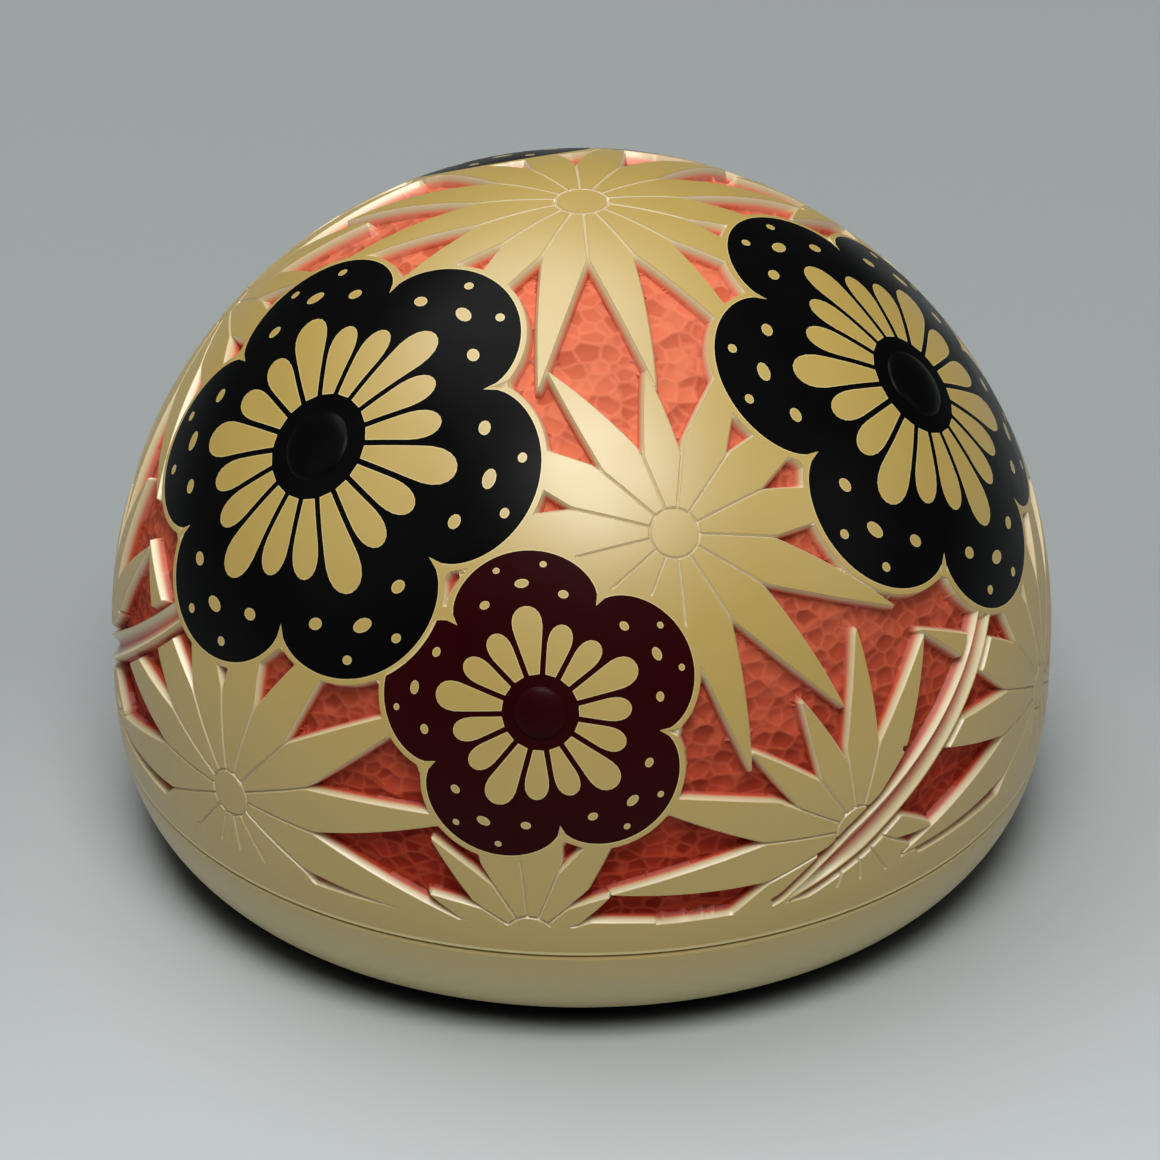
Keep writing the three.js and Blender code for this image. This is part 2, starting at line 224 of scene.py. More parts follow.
def blossomLines(blossom):
    axes, step = blossom["axes"], 2 * math.pi / blossom["petals"]
    delta = step / cellRule["perPetal"]
    pointsPerHalf = int(math.pi * blossom["radius"] / ornament["spacing"] / blossom["petals"])
    turns = turnsRound(2 * pointsPerHalf * blossom["petals"]) + blossom["turn"]
    pale = ornament["paleLine"]
    lines = [fromMotif(axes, grownEdge(blossom, turns, grow), turns)
             for grow in (0, pale, blossom["outline"])]
    lines.append(fromMotif(axes, blossom["boss"], turnsRound(lobeRule["bossPoints"])))
    sweep = np.sin(np.linspace(0, math.pi / 2, cellRule["points"])) ** cellRule["crowding"]
    around, size = turnsRound(spotRule["points"]), blossom["radius"] / spotRule["base"]
    for petal in range(blossom["petals"]):
        centre = blossom["turn"] + petal * step
        for j, shrink in ((-1, 0), (0, 0), (1, 0), (-1, pale), (0, pale), (1, pale)):
            near, far = cellHalf(blossom, j == 0, np.array([0.0]))[1:]
            along = near + shrink + (far - near - 2 * shrink) * sweep
            half = np.maximum(cellHalf(blossom, j == 0, along)[0] - shrink, 0)
            along, aside = np.r_[along, along[-2::-1]], np.r_[half, -half[-2::-1]]
            turn = np.arctan2(aside, along) + centre + j * delta
            lines.append(fromMotif(axes, np.hypot(along, aside), turn))
        for share, reach, long, short in spotRule["places"]:
            for shrink in (0, pale):
                along = blossom["radius"] * reach + (short * size - shrink) * np.cos(around)
                aside = (long * size - shrink) * np.sin(around)
                turn = np.arctan2(aside, along) + centre + share * step
                lines.append(fromMotif(axes, np.hypot(along, aside), turn))
    return [np.vstack([line, line[:1]]) for line in lines]


# Stems run from under each black blossom down to the plain rim
stemRule = {
    "bearing": -4, "fromTop": 58,                         # of its upper end, the bearing from its blossom's
    "swing": -44, "bend": 1.7, "drop": 39.2,              # how far round, how late, and how far down
    "topHalf": 0.8 * mm, "bottomHalf": 1.25 * mm,
    "tip": 0.14, "tipHalf": 0.12 * mm, "tipRound": 0.8,   # the share of its length that narrows to a tip
    "bank": 0.95 * mm,                                    # ground beside it
    "hollow": 0.76 * mm, "lip": 0.88,                     # its hollow's depth, and share of its width
    "steps": 90, "rows": (-1, -0.8, -0.5, 0, 0.5, 0.8, 1),
    "searchAngle": 0.7, "endReach": 0.9 * mm,
    "elsewhere": (9.0, 1.0, 0.0),                         # what stemAcross says of a place far from it
}


def stemCourse(bearing):
    share = np.linspace(0, 1, stemRule["steps"])
    turn = np.radians(bearing + stemRule["bearing"] + stemRule["swing"] * share ** stemRule["bend"])
    tilt = np.radians(stemRule["fromTop"] + stemRule["drop"] * share)
    course = np.column_stack([np.sin(tilt) * np.cos(turn), np.sin(tilt) * np.sin(turn), np.cos(tilt)])
    half = stemRule["topHalf"] + (stemRule["bottomHalf"] - stemRule["topHalf"]) * share
    half *= np.clip((1 - share) / stemRule["tip"], 0, 1) ** stemRule["tipRound"]
    return course, np.maximum(half, stemRule["tipHalf"])


def stemAcross(stem, directions):
    # Signed share of the stem's half width, the distance beyond its side, and that half width
    course, half = stem["course"], stem["half"]
    farAcross, farBeyond, noWidth = stemRule["elsewhere"]
    across = np.full(len(directions), farAcross)
    beyond = np.full(len(directions), farBeyond)
    width = np.full(len(directions), noWidth)
    near = np.where(directions @ course[len(course) // 2] > math.cos(stemRule["searchAngle"]))[0]
    if len(near):
        nearest = (directions[near] @ course.T).argmax(axis=1)
        tangent = np.gradient(course, axis=0)[nearest]
        tangent /= np.linalg.norm(tangent, axis=1)[:, None]
        side = np.cross(course[nearest], tangent)
        aside = (directions[near] * side).sum(axis=1) * form["radius"]
        along = ((directions[near] - course[nearest]) * tangent).sum(axis=1) * form["radius"]
        outside = (np.abs(along) > stemRule["endReach"]) & ((nearest == 0) | (nearest == len(course) - 1))
        across[near] = np.where(outside, farAcross, aside / half[nearest])
        beyond[near] = np.where(outside, farBeyond, np.abs(aside) - half[nearest])
        width[near] = half[nearest]
    return across, beyond, width


def markStem(stem, directions):
    beyond = stemAcross(stem, directions)[1]
    return np.where(beyond < 0, rib, ground), beyond < stemRule["bank"]


def stemLines(stem):
    course, half = stem["course"], stem["half"]
    side = np.cross(course, np.gradient(course, axis=0))
    side /= np.linalg.norm(side, axis=1)[:, None]
    offsets = [row * half for row in stemRule["rows"]]
    offsets += [-(half + stemRule["bank"]), half + stemRule["bank"]]
    lines = [course + side * (offset / form["radius"])[:, None] for offset in offsets]
    return [line / np.linalg.norm(line, axis=1)[:, None] for line in lines]


# Heads of long pointed petals, the upper ones lying over the lower
headRule = {
    "claim": 0.86,      # share of the radius within which no lower motif shows
    "taper": 1.9,
    "shortest": 0.3,    # share of the radius that a petal keeps at least
    "under": 1.18,      # how far a petal goes on under an upper one
    "tries": 43, "hubPoints": 36, "discPoints": 12, "discLean": 0.9, "start": 0.9,
}
headKinds = [
    {"fromTop": 0, "bearing": 0, "turn": 0.0, "petals": 14,
     "radius": 24 * mm, "hub": 2.2 * mm, "half": 2.3 * mm},
    {"fromTop": 50, "bearing": 62, "turn": 0.1, "petals": 13,
     "radius": 22 * mm, "hub": 2.0 * mm, "half": 2.45 * mm},
    {"fromTop": 90, "bearing": 2, "turn": 0.2, "petals": 14,
     "radius": 25 * mm, "hub": 2.0 * mm, "half": 2.4 * mm},
    {"fromTop": 90, "bearing": 82, "turn": 0.1, "petals": 14,
     "radius": 23 * mm, "hub": 2.0 * mm, "half": 2.3 * mm},
    {"fromTop": 99, "bearing": 42, "turn": 0.1, "petals": 14,
     "radius": 21 * mm, "hub": 2.0 * mm, "half": 2.0 * mm},
]


def petalHalf(head, along, reach, grow=0.0):
    share = np.clip(along / reach, 0, 1)
    return head["half"] * np.sqrt(reach / head["radius"]) * (1 - share ** headRule["taper"]) + grow


def petalReach(head, uppers):
    # A petal ends where its middle meets an upper head's ground, or a little way under that head's petals
    shares = np.linspace(headRule["shortest"], 1, headRule["tries"])
    reach = np.full(head["petals"], head["radius"])
    for petal in range(head["petals"]):
        turn = head["turn"] + petal * 2 * math.pi / head["petals"]
        line = fromMotif(head["axes"], head["radius"] * shares, np.full(len(shares), turn))
        for upper in uppers:
            mark, claimed = markHead(upper, line)
            if claimed.any():
                first = claimed.argmax()
                under = 1 if mark[first] == ground else headRule["under"]
                reach[petal] = min(reach[petal], head["radius"] * shares[first] * under)
    return reach


def markHead(head, directions):
    distance, turn = toMotif(head["axes"], directions)
    step = 2 * math.pi / head["petals"]
    groove = ornament["groove"]
    inPetal = wrap(turn - head["turn"], step)
    reach = head["reach"][np.round((turn - head["turn"]) / step).astype(int) % head["petals"]]
    along, aside = distance * np.cos(inPetal), np.abs(distance * np.sin(inPetal))
    half = np.minimum(petalHalf(head, along, reach), along * math.tan(step / 2) - groove / 2)
    petal = (aside < half) & (along < reach) & (distance > head["hub"] + groove)
    grown = (aside < petalHalf(head, along, reach, groove)) & (along < reach + groove)
    claimed = grown | (distance < head["radius"] * headRule["claim"])
    return np.where(petal | (distance < head["hub"]), tan, ground), claimed


def headLines(head):
    axes, step, groove = head["axes"], 2 * math.pi / head["petals"], ornament["groove"]
    ring = np.linspace(0, 2 * math.pi, headRule["hubPoints"] + 1)
    lines = [fromMotif(axes, head["hub"] + grow, ring) for grow in (0, groove / 2, groove)]
    rows = int(head["radius"] / ornament["spacing"])
    disc = head["radius"] * headRule["claim"]
    leans = headRule["discLean"] * np.arcsin(petalHalf(head, disc, head["reach"], groove) / disc)
    for petal in range(head["petals"]):
        centre, reach = head["turn"] + petal * step, head["reach"][petal]
        start, end = leans[petal], step - leans[(petal + 1) % head["petals"]]
        if start < end:
            lines.append(fromMotif(axes, disc, centre + np.linspace(start, end, headRule["discPoints"])))
        for grow in (0, groove / 2, groove):
            along = np.linspace(head["hub"] + groove * headRule["start"], reach + grow, rows)
            side = along * math.tan(step / 2) - (groove / 2 if grow == 0 else 0)
            half = np.minimum(petalHalf(head, along, reach, grow), side)
            if grow:
                keep = petalHalf(head, along, reach, grow) < side
                along, half = along[keep], half[keep]
            along, half = np.r_[along, along[::-1]], np.r_[half, -half[::-1]]
            lines.append(fromMotif(axes, np.hypot(along, half), np.arctan2(half, along) + centre))
        away = np.linspace(head["hub"] + groove / 2, head["radius"], rows)
        lines.append(fromMotif(axes, away, np.full(rows, centre + step / 2)))
    return lines


tiltSearch = {"from": math.pi / 2, "to": math.pi * 0.75, "steps": 40}


def rimTilt(level, depth=0.0):
    # Angle from the top at which the surface, or a depth below it, passes a level below the widest circle
    low, high = tiltSearch["from"], tiltSearch["to"]
    for _ in range(tiltSearch["steps"]):
        tilt = (low + high) / 2
        above = surfaceOf(np.array([[math.sin(tilt), 0, math.cos(tilt)]]), depth)[0, 2] > level
        low, high = (tilt, high) if above else (low, tilt)
    return (low + high) / 2


def circleOf(tilt, turns):
    return np.column_stack([math.sin(tilt) * np.cos(turns), math.sin(tilt) * np.sin(turns),
                            np.full(len(turns), math.cos(tilt))])


def circleAt(tilt, count):
    return circleOf(tilt, np.arange(count + 1) / count * 2 * math.pi)


lidTilt = rimTilt(form["rim"])
plainTilt = rimTilt(form["rim"] + ornament["plainRim"])
lipTilt = ornament["lip"] / form["radius"]


def markRim(directions):
    plain = directions[:, 2] < math.cos(plainTilt)
    return np.where(plain, tan, ground), plain


# The motifs from the uppermost down. Each one's mark says what a place is, and whether it is taken.
motifs = [{"mark": markRim, "lines": [circleAt(plainTilt, ornament["plainSteps"])]}]
blossoms = []
for kind in blossomKinds:
    for number, bearing in enumerate(bearings, 1):
        blossom = dict(kind, axes=axesAt(kind["fromTop"], bearing + kind["bearing"]), number=number)
        blossoms.append(blossom)
        motifs.append({"mark": lambda directions, blossom=blossom: markBlossom(blossom, directions),
                       "lines": blossomLines(blossom)})
stems = []
for bearing in bearings:
    course, half = stemCourse(bearing)
    stem = {"course": course, "half": half}
    stems.append(stem)
    motifs.append({"mark": lambda directions, stem=stem: markStem(stem, directions),
                   "lines": stemLines(stem)})
heads = []
for kind in headKinds:
    for bearing in bearings[:1] if kind["fromTop"] == 0 else bearings:
        head = dict(kind, axes=axesAt(kind["fromTop"], bearing + kind["bearing"]))
        head["reach"] = petalReach(head, heads)
        heads.append(head)
        motifs.append({"mark": lambda directions, head=head: markHead(head, directions),
                       "lines": headLines(head)})
print("ornament laid out:", len(motifs), "motifs")


def labelOf(directions, upTo=None):
    # What each place is, and whether it is still free
    label = np.full(len(directions), ground)
    free = np.ones(len(directions), bool)
    for motif in motifs[:upTo]:
        mark, claimed = motif["mark"](directions)
        label[free] = mark[free]
        free &= ~(claimed | (mark != ground))
    return label, free


chartWeld = 1e-7


def chartMesh(lines, loose):
    # Triangles of the chart that keep every line, and which of their edges lie on a line
    points, edges = [], []
    for line in lines:
        start = len(points)
        points.extend(line)
        edges.extend((start + i, start + i + 1) for i in range(len(line) - 1))
    points.extend(loose)
    flat = [Vector(point) for point in toChart(np.array(points)).tolist()]
    found = geometry.delaunay_2d_cdt(flat, edges, [], 0, chartWeld, True)
    places = np.array([tuple(point) for point in found[0]])
    triangles = np.array([tuple(face) for face in found[2]])
    onLines = {tuple(sorted(edge)) for edge, source in zip(found[1], found[4]) if source}
    return fromChart(places), triangles, onLines


def unit(vectors):
    return vectors / np.maximum(np.linalg.norm(vectors, axis=1), tiny * mm)[:, None]


def areaOf(points, triangles):
    a, b, c = (points[triangles[:, k]] for k in range(3))
    return np.linalg.norm(np.cross(b - a, c - a), axis=1) / 2


def sidesOf(triangles):
    # The triangles on the two sides of each edge
    first, pairs = {}, []
    for i, (a, b, c) in enumerate(triangles.tolist()):
        for edge in ((a, b), (b, c), (c, a)):
            key = (min(edge), max(edge))
            other = first.setdefault(key, i)
            if other != i:
                pairs.append((key, i, other))
    return pairs


def patchesOf(count, joined):
    # The number of the patch that each triangle is in, once the joined ones are put together
    leader = list(range(count))

    def lead(i):
        while leader[i] != i:
            leader[i] = leader[leader[i]]
            i = leader[i]
        return i

    for i, other in joined:
        leader[lead(i)] = lead(other)
    return np.array([lead(i) for i in range(count)])


speckRule = {
    "strayVotes": 0.07,                              # share of a region that may be outvoted
    "stray": 0.6 * mm ** 2, "strayShare": 0.004,     # and its area, with more where the region is large
    "tan": 2.0 * mm ** 2, "ground": 0.12 * mm ** 2,  # the smallest islands that stay
}


def inOneRegion(pairs, onLines, label, area):
    # Triangles not parted by a line share the label that nearly all of their area has
    region = patchesOf(len(label), [(i, other) for key, i, other in pairs if key not in onLines])
    votes = np.zeros((len(label), 6))
    np.add.at(votes, (region, label), area)
    whole = votes.sum(axis=1)
    stray = whole - votes.max(axis=1)
    mostly = stray < speckRule["strayVotes"] * whole
    mostly &= stray < speckRule["stray"] + speckRule["strayShare"] * whole
    return np.where(mostly[region], votes[region].argmax(axis=1), label)


def withoutSpecks(pairs, label, area):
    # Islands of tan in the ground, and of ground in the tan, that no gouge would leave
    label = label.copy()
    for code, other, least in ((tan, ground, speckRule["tan"]), (ground, tan, speckRule["ground"])):
        patch = patchesOf(len(label), [(i, j) for key, i, j in pairs if label[i] == label[j]])
        total = np.bincount(patch, area, len(label))
        beside = np.zeros(len(label), bool)
        for key, i, j in pairs:
            beside[patch[i]] |= label[j] == other
            beside[patch[j]] |= label[i] == other
        label[(label == code) & (total[patch] < least) & beside[patch]] = other
    return label


def labelledMesh(lines, loose):
    places, triangles, onLines = chartMesh(lines, loose)
    label = labelOf(unit(places[triangles].mean(axis=1)))[0]
    pairs, area = sidesOf(triangles), areaOf(places, triangles) * form["radius"] ** 2
    label = inOneRegion(pairs, onLines, label, area)
    return places, triangles, withoutSpecks(pairs, label, area)


def wallEdges(triangles, label):
    # Edges with the ground on their left and something uncarved on their right
    side = {}
    for (a, b, c), mark in zip(triangles.tolist(), label.tolist()):
        for edge in ((a, b), (b, c), (c, a)):
            side[edge] = mark
    return [(a, b) for (a, b), mark in side.items()
            if mark == ground and side.get((b, a), ground) != ground]


def treeOf(points):
    tree = kdtree.KDTree(len(points))
    for i, point in enumerate(points.tolist()):
        tree.insert(point, i)
    tree.balance()
    return tree


def farFrom(tree, points):
    return np.array([tree.find(point)[2] for point in points.tolist()])


# Loose points of the mesh
pointRule = {
    "rows": 0.866,                              # between rows, as a share of the spacing
    "fromRim": 0.6 * mm, "fromWall": 0.22 * mm,
    "fromLine": 0.5,                            # as a share of the spacing
    "perWall": 8,                               # points of an edge that distances are taken from
    "footShares": (0.16, 0.28, 0.4, 0.52, 0.64, 0.76, 0.88, 1.0),
    "footClear": 0.93,                          # how nearly its own wall is the nearest to a foot
    "shortestWall": 0.08 * mm, "footGrid": 0.16 * mm,
}


def evenPoints(spacing):
    # Evenly spread directions over the lid
    count = int(4 * math.pi * form["radius"] ** 2 / (pointRule["rows"] * spacing ** 2))
    index = np.arange(count) + 0.5
    height = 1 - 2 * index / count
    turn = math.pi * (1 + math.sqrt(5)) * index
    across = np.sqrt(1 - height ** 2)
    points = np.column_stack([across * np.cos(turn), across * np.sin(turn), height])
    return points[height > math.cos(lidTilt) + pointRule["fromRim"] / form["radius"]]


def shownLines():
    # The stretches of each motif's lines that no upper motif covers
    shown = [circleAt(lidTilt - row * lipTilt, ornament["rimSteps"]) for row in range(3)]
    for index, motif in enumerate(motifs):
        for line in motif["lines"]:
            inside = line[:, 2] > math.cos(lidTilt)
            free = labelOf(line, index)[1] & inside
            start = None
            for i in range(len(line)):
                run = i < len(line) - 1 and (free[i] or free[i + 1]) and inside[i] and inside[i + 1]
                if run and start is None:
                    start = i
                elif not run and start is not None:
                    shown.append(line[start:i + 1])
                    start = None
    return shown


def wallFeet(places, walls):
    # Points at the foot of each wall, or along the valley where two walls meet before it
    starts, ends = places[walls[:, 0]], places[walls[:, 1]]
    centres = unit((starts + ends) / 2)
    inward = unit(np.cross(centres, ends - starts)) / form["radius"]
    lengths = np.linalg.norm(ends - starts, axis=1) * form["radius"]
    feet = {}
    for centre, sideways, length in zip(centres, inward, lengths):
        best = None
        for share in pointRule["footShares"] if length >= pointRule["shortestWall"] else ():
            point = unit((centre + sideways * share * toe)[None])
            if wallTree.find(surfaceOf(point)[0])[2] < pointRule["footClear"] * share * toe:
                break
            best = point[0]
        if best is not None:
            cell = np.floor(best * form["radius"] / pointRule["footGrid"]).astype(int)
            feet.setdefault(tuple(cell.tolist()), best)
    return np.array(list(feet.values()))


lines = shownLines()
places, triangles, label = labelledMesh(lines, [])
walls = np.array(wallEdges(triangles, label))
alongWalls = [places[walls[:, 0]] * (1 - share) + places[walls[:, 1]] * share
              for share in np.linspace(0, 1, pointRule["perWall"])]
wallTree = treeOf(surfaceOf(unit(np.vstack(alongWalls))))
feet = wallFeet(places, walls)
fine = evenPoints(ornament["ground"])
fine = fine[labelOf(fine)[0] == ground]
fine = fine[farFrom(wallTree, surfaceOf(fine)) > toe + pointRule["fromWall"]]
coarse = evenPoints(ornament["tops"])
coarse = coarse[labelOf(coarse)[0] != ground]
lineTree = treeOf(surfaceOf(np.vstack(lines)))
coarse = coarse[farFrom(lineTree, surfaceOf(coarse)) > pointRule["fromLine"] * ornament["tops"]]
places, triangles, label = labelledMesh(lines, list(np.vstack([feet, fine, coarse])))
places = unit(places)
print("carving laid out:", len(places), "points,", len(triangles), "triangles", np.bincount(label))


def touching(code):
    # Whether each point belongs to a triangle with one of these labels
    touched = np.zeros(len(places), bool)
    touched[triangles[np.isin(label, code)].ravel()] = True
    return touched


# How deep each point lies, how much of a gouge mark it takes, and how pale it is
pocketed = [bossHole, black, maroon]
depth = np.zeros(len(places))
gouge = np.zeros(len(places))
cutAway = touching(ground) & ~touching([tan, rib] + pocketed)
away = farFrom(wallTree, surfaceOf(places[cutAway]))
depth[cutAway] = ornament["depth"] * np.clip(away / toe, 0, 1) ** ornament["flare"]
gouge[cutAway] = np.clip((away - ornament["gougeFrom"] * toe) / ornament["gougeFade"], 0, 1)
hollow = touching(rib) & ~touching([ground, tan] + pocketed)
sides = np.array([stemAcross(stem, places[hollow]) for stem in stems])
across, width = np.abs(sides[:, 0]).min(axis=0), sides[:, 2].max(axis=0)
depth[hollow] = stemRule["hollow"] * np.clip(1 - (across / stemRule["lip"]) ** 2, 0, 1)
depth[hollow] *= np.clip(width / stemRule["topHalf"], 0, 1) ** 2
paleLineAndRimHighlight = (touching(tan) & touching(pocketed)).astype(float)
# Along the rim the pale colour is a painted highlight, for light caught by the rim's lower edge
paleLineAndRimHighlight[places[:, 2] < math.cos(lidTilt - 1.5 * lipTilt)] = 1
inPocket = np.isin(label, pocketed)


def boundaryOf(faces):
    # Edges that only one of these faces has, in that face's own direction
    edges = np.vstack([faces[:, [0, 1]], faces[:, [1, 2]], faces[:, [2, 0]]])
    size = faces.max() + 1
    keys = edges[:, 0] * size + edges[:, 1]
    return edges[~np.isin(edges[:, 1] * size + edges[:, 0], keys)]


def bridge(edges, lower):
    # Walls down from the edges of a face to the points that lie below them
    a, b = edges[:, 0], edges[:, 1]
    return np.vstack([np.column_stack([b, a, lower[a]]), np.column_stack([b, lower[a], lower[b]])])


def renumbered(faces, offset=0):
    used = np.unique(faces)
    number = np.full(faces.max() + 1, -1)
    number[used] = np.arange(len(used)) + offset
    return used, number


def inScene(name, data):
    piece = bpy.data.objects.new(name, data)
    scene.collection.objects.link(piece)
    return piece


def newPiece(name, points, faces, values=None):
    mesh = bpy.data.meshes.new(name)
    mesh.from_pydata(points.tolist(), [], faces.tolist())
    for key, value in (values or {}).items():
        kind = "FLOAT_VECTOR" if value.ndim == 2 else "FLOAT"
        attribute = mesh.attributes.new(key, kind, "POINT")
        attribute.data.foreach_set("vector" if value.ndim == 2 else "value", value.ravel())
    mesh.shade_smooth()
    return inScene(name, mesh)


# Angles in degrees past which an edge stays sharp
sharpFrom = {"carving": 38, "inlay": 40, "boss": 50, "turned": 35}


def softNormals(points, faces, group, widest):
    # Corner normals shared by neighbours of one group that meet at less than the widest angle
    a, b, c = (points[faces[:, k]] for k in range(3))
    cross = np.cross(b - a, c - a)
    flat = unit(cross)
    corner = faces.ravel()
    face = np.repeat(np.arange(len(faces)), 3)
    order = np.argsort(corner, kind="stable")
    corner, face = corner[order], face[order]
    first = np.searchsorted(corner, corner)
    count = np.searchsorted(corner, corner, side="right") - first
    place = np.arange(len(corner)) - first
    total = np.zeros((len(corner), 3))
    for shift in range(count.max()):
        more = np.where(shift < count)[0]
        other = face[first[more] + (place[more] + shift) % count[more]]
        mine = face[more]
        close = (flat[mine] * flat[other]).sum(axis=1) > math.cos(math.radians(widest))
        close &= group[mine] == group[other]
        total[more] += cross[other] * close[:, None]
    normals = np.zeros_like(total)
    normals[order] = unit(total)
    return normals


def bandFaces(first, second):
    # Two triangles for each step between two rings of point numbers
    firstNext, secondNext = np.roll(first, -1), np.roll(second, -1)
    return [np.column_stack([firstNext, first, second]), np.column_stack([firstNext, second, secondNext])]


def layCarvedLid():
    # One closed shell: carved outside, pockets under the inlays, a flat rim and a plain inside
    above, below = triangles[~inPocket], triangles[inPocket]
    used, number = renumbered(above)
    sunk, sunkNumber = renumbered(below, len(used))
    outside = [surfaceOf(places[used], depth[used]), surfaceOf(places[sunk], ornament["pocket"])]
    lower = np.full(len(places), -1)
    lower[sunk] = sunkNumber[sunk]
    edge = boundaryOf(above)
    inner = lower[edge].min(axis=1) >= 0
    a, b = number[edge[inner, 0]], number[edge[inner, 1]]
    c, d = lower[edge[inner, 0]], lower[edge[inner, 1]]
    faces = [number[above], sunkNumber[below], np.column_stack([b, a, c]), np.column_stack([b, c, d])]

    # The rim and the inside
    rim = edge[~inner]
    turns = np.arctan2(places[rim[:, 0], 1], places[rim[:, 0], 0])
    rimOrder = rim[np.argsort(turns), 0]
    turns = np.sort(turns)
    tilts = np.linspace(rimTilt(form["rim"], ornament["wall"]), 0, ornament["insideRings"])[:-1]
    circles = [circleOf(tilt, turns) for tilt in tilts]
    inside = surfaceOf(np.vstack(circles + [[[0, 0, 1]]]), ornament["wall"])
    start, steps = len(used) + len(sunk), len(turns)
    rings = [number[rimOrder]] + [start + k * steps + np.arange(steps) for k in range(len(tilts))]
    for first, second in zip(rings, rings[1:]):
        faces += bandFaces(first, second)
    pole = np.full(steps, start + len(tilts) * steps)
    faces.append(np.column_stack([np.roll(rings[-1], -1), rings[-1], pole]))
    points = np.vstack(outside + [inside])
    group = np.repeat(-np.arange(len(faces)), [len(part) for part in faces])
    group[:len(above)] = label[~inPocket]
    blank = np.zeros(len(points) - len(used))
    values = {"carve": np.concatenate([depth[used] / mm, blank]),
              "gouge": np.concatenate([gouge[used], blank]),
              "pale": np.concatenate([paleLineAndRimHighlight[used], blank]),
              "outward": np.vstack([outwardOf(places[used]), np.zeros((len(blank), 3))])}
    return points, np.vstack(faces), group, values, places[used]


points, faces, group, values, outsidePlaces = layCarvedLid()
carvedLid = newPiece("carved_lid", points, faces, values)
print("carved lid:", len(points), "points,", len(faces), "triangles")


# Materials
def newMaterial(name):
    material = bpy.data.materials.new(name)
    material.use_nodes = True
    nodes, links = material.node_tree.nodes, material.node_tree.links
    return material, nodes, links, nodes["Principled BSDF"]


def placeOf(nodes):
    found = [node for node in nodes if node.bl_idname == "ShaderNodeTexCoord"]
    return (found[0] if found else nodes.new("ShaderNodeTexCoord")).outputs["Object"]


def stretchedPlace(nodes, links, stretch):
    mapping = nodes.new("ShaderNodeMapping")
    mapping.inputs["Scale"].default_value = stretch
    links.new(placeOf(nodes), mapping.inputs["Vector"])
    return mapping.outputs["Vector"]


def noiseAt(nodes, links, scale, detail, place=None):
    noise = nodes.new("ShaderNodeTexNoise")
    noise.inputs["Scale"].default_value = scale
    noise.inputs["Detail"].default_value = detail
    links.new(place or placeOf(nodes), noise.inputs["Vector"])
    return noise.outputs["Fac"]


def alongAxis(nodes, links, axis, low, high):
    # From 0 to 1 between two places on an axis
    split = nodes.new("ShaderNodeSeparateXYZ")
    links.new(placeOf(nodes), split.inputs[0])
    return rangeOf(nodes, links, split.outputs[axis], low, high, 0, 1)


def rangeOf(nodes, links, value, low, high, toLow, toHigh):
    mapped = nodes.new("ShaderNodeMapRange")
    links.new(value, mapped.inputs["Value"])
    for key, number in (("From Min", low), ("From Max", high), ("To Min", toLow), ("To Max", toHigh)):
        mapped.inputs[key].default_value = number
    return mapped.outputs["Result"]


def blendOf(nodes, links, share, first, second):
    mix = nodes.new("ShaderNodeMix")
    mix.data_type = "RGBA"
    links.new(share, mix.inputs["Factor"])
    for socket, colour in ((mix.inputs[6], first), (mix.inputs[7], second)):
        if isinstance(colour, tuple):
            socket.default_value = (*colour, 1)
        else:
            links.new(colour, socket)
    return mix.outputs[2]


def rampOf(nodes, links, value, stops):
    ramp = nodes.new("ShaderNodeValToRGB")
    links.new(value, ramp.inputs["Fac"])
    elements = ramp.color_ramp.elements
    for index, (position, colour) in enumerate(stops):
        element = elements[index] if index < 2 else elements.new(position)
        element.position = position
        element.color = (*colour, 1)
    return ramp.outputs["Color"]


def bumpOf(nodes, links, height, distance, strength, after=None):
    bump = nodes.new("ShaderNodeBump")
    bump.inputs["Distance"].default_value = distance
    bump.inputs["Strength"].default_value = strength
    links.new(height, bump.inputs["Height"])
    if after:
        links.new(after, bump.inputs["Normal"])
    return bump.outputs["Normal"]


def attributeOf(nodes, name):
    attribute = nodes.new("ShaderNodeAttribute")
    attribute.attribute_name = name
    return attribute.outputs["Fac"]


tanFinish = {
    "light": (0.470, 0.328, 0.074), "dark": (0.430, 0.297, 0.064), "patches": 90, "patchDetail": 3,
    "roughness": 0.43, "spread": 0.03, "wear": 180, "wearDetail": 4,
    "grain": 2600, "grainDetail": 2, "grainHeight": 0.004 * mm, "grainShare": 0.5,
    "specular": 1.0, "coat": 0.65, "coatRoughness": 0.42,
}
# The base: pale near the foot as painted bounce light from the floor, and like the lid at the seam
baseTanAndPaintedBounce = {"foot": (0.66, 0.550, 0.270), "seam": (0.470, 0.345, 0.105),
              "low": 3.5 * mm, "high": 9.5 * mm}
# Each red: low on the lid, and near its top. Lower down every red is darker, as painted shade.
redFinish = {
    # Between light and dark each gouge scoop takes a random red, painted shade of scoops tilted differently
    # to the light. The ridge red is painted highlight along the scoops' ridges, and also the fresh-cut red
    # just under the tan.
    "light": ((0.36, 0.030, 0.012), (0.62, 0.150, 0.075)),
    "dark": ((0.22, 0.012, 0.004), (0.46, 0.090, 0.042)),
    "ridge": ((0.52, 0.075, 0.034), (0.72, 0.215, 0.115)),
    "low": 20 * mm, "high": 52 * mm, "duller": 0.35, "specular": 0.12,
}
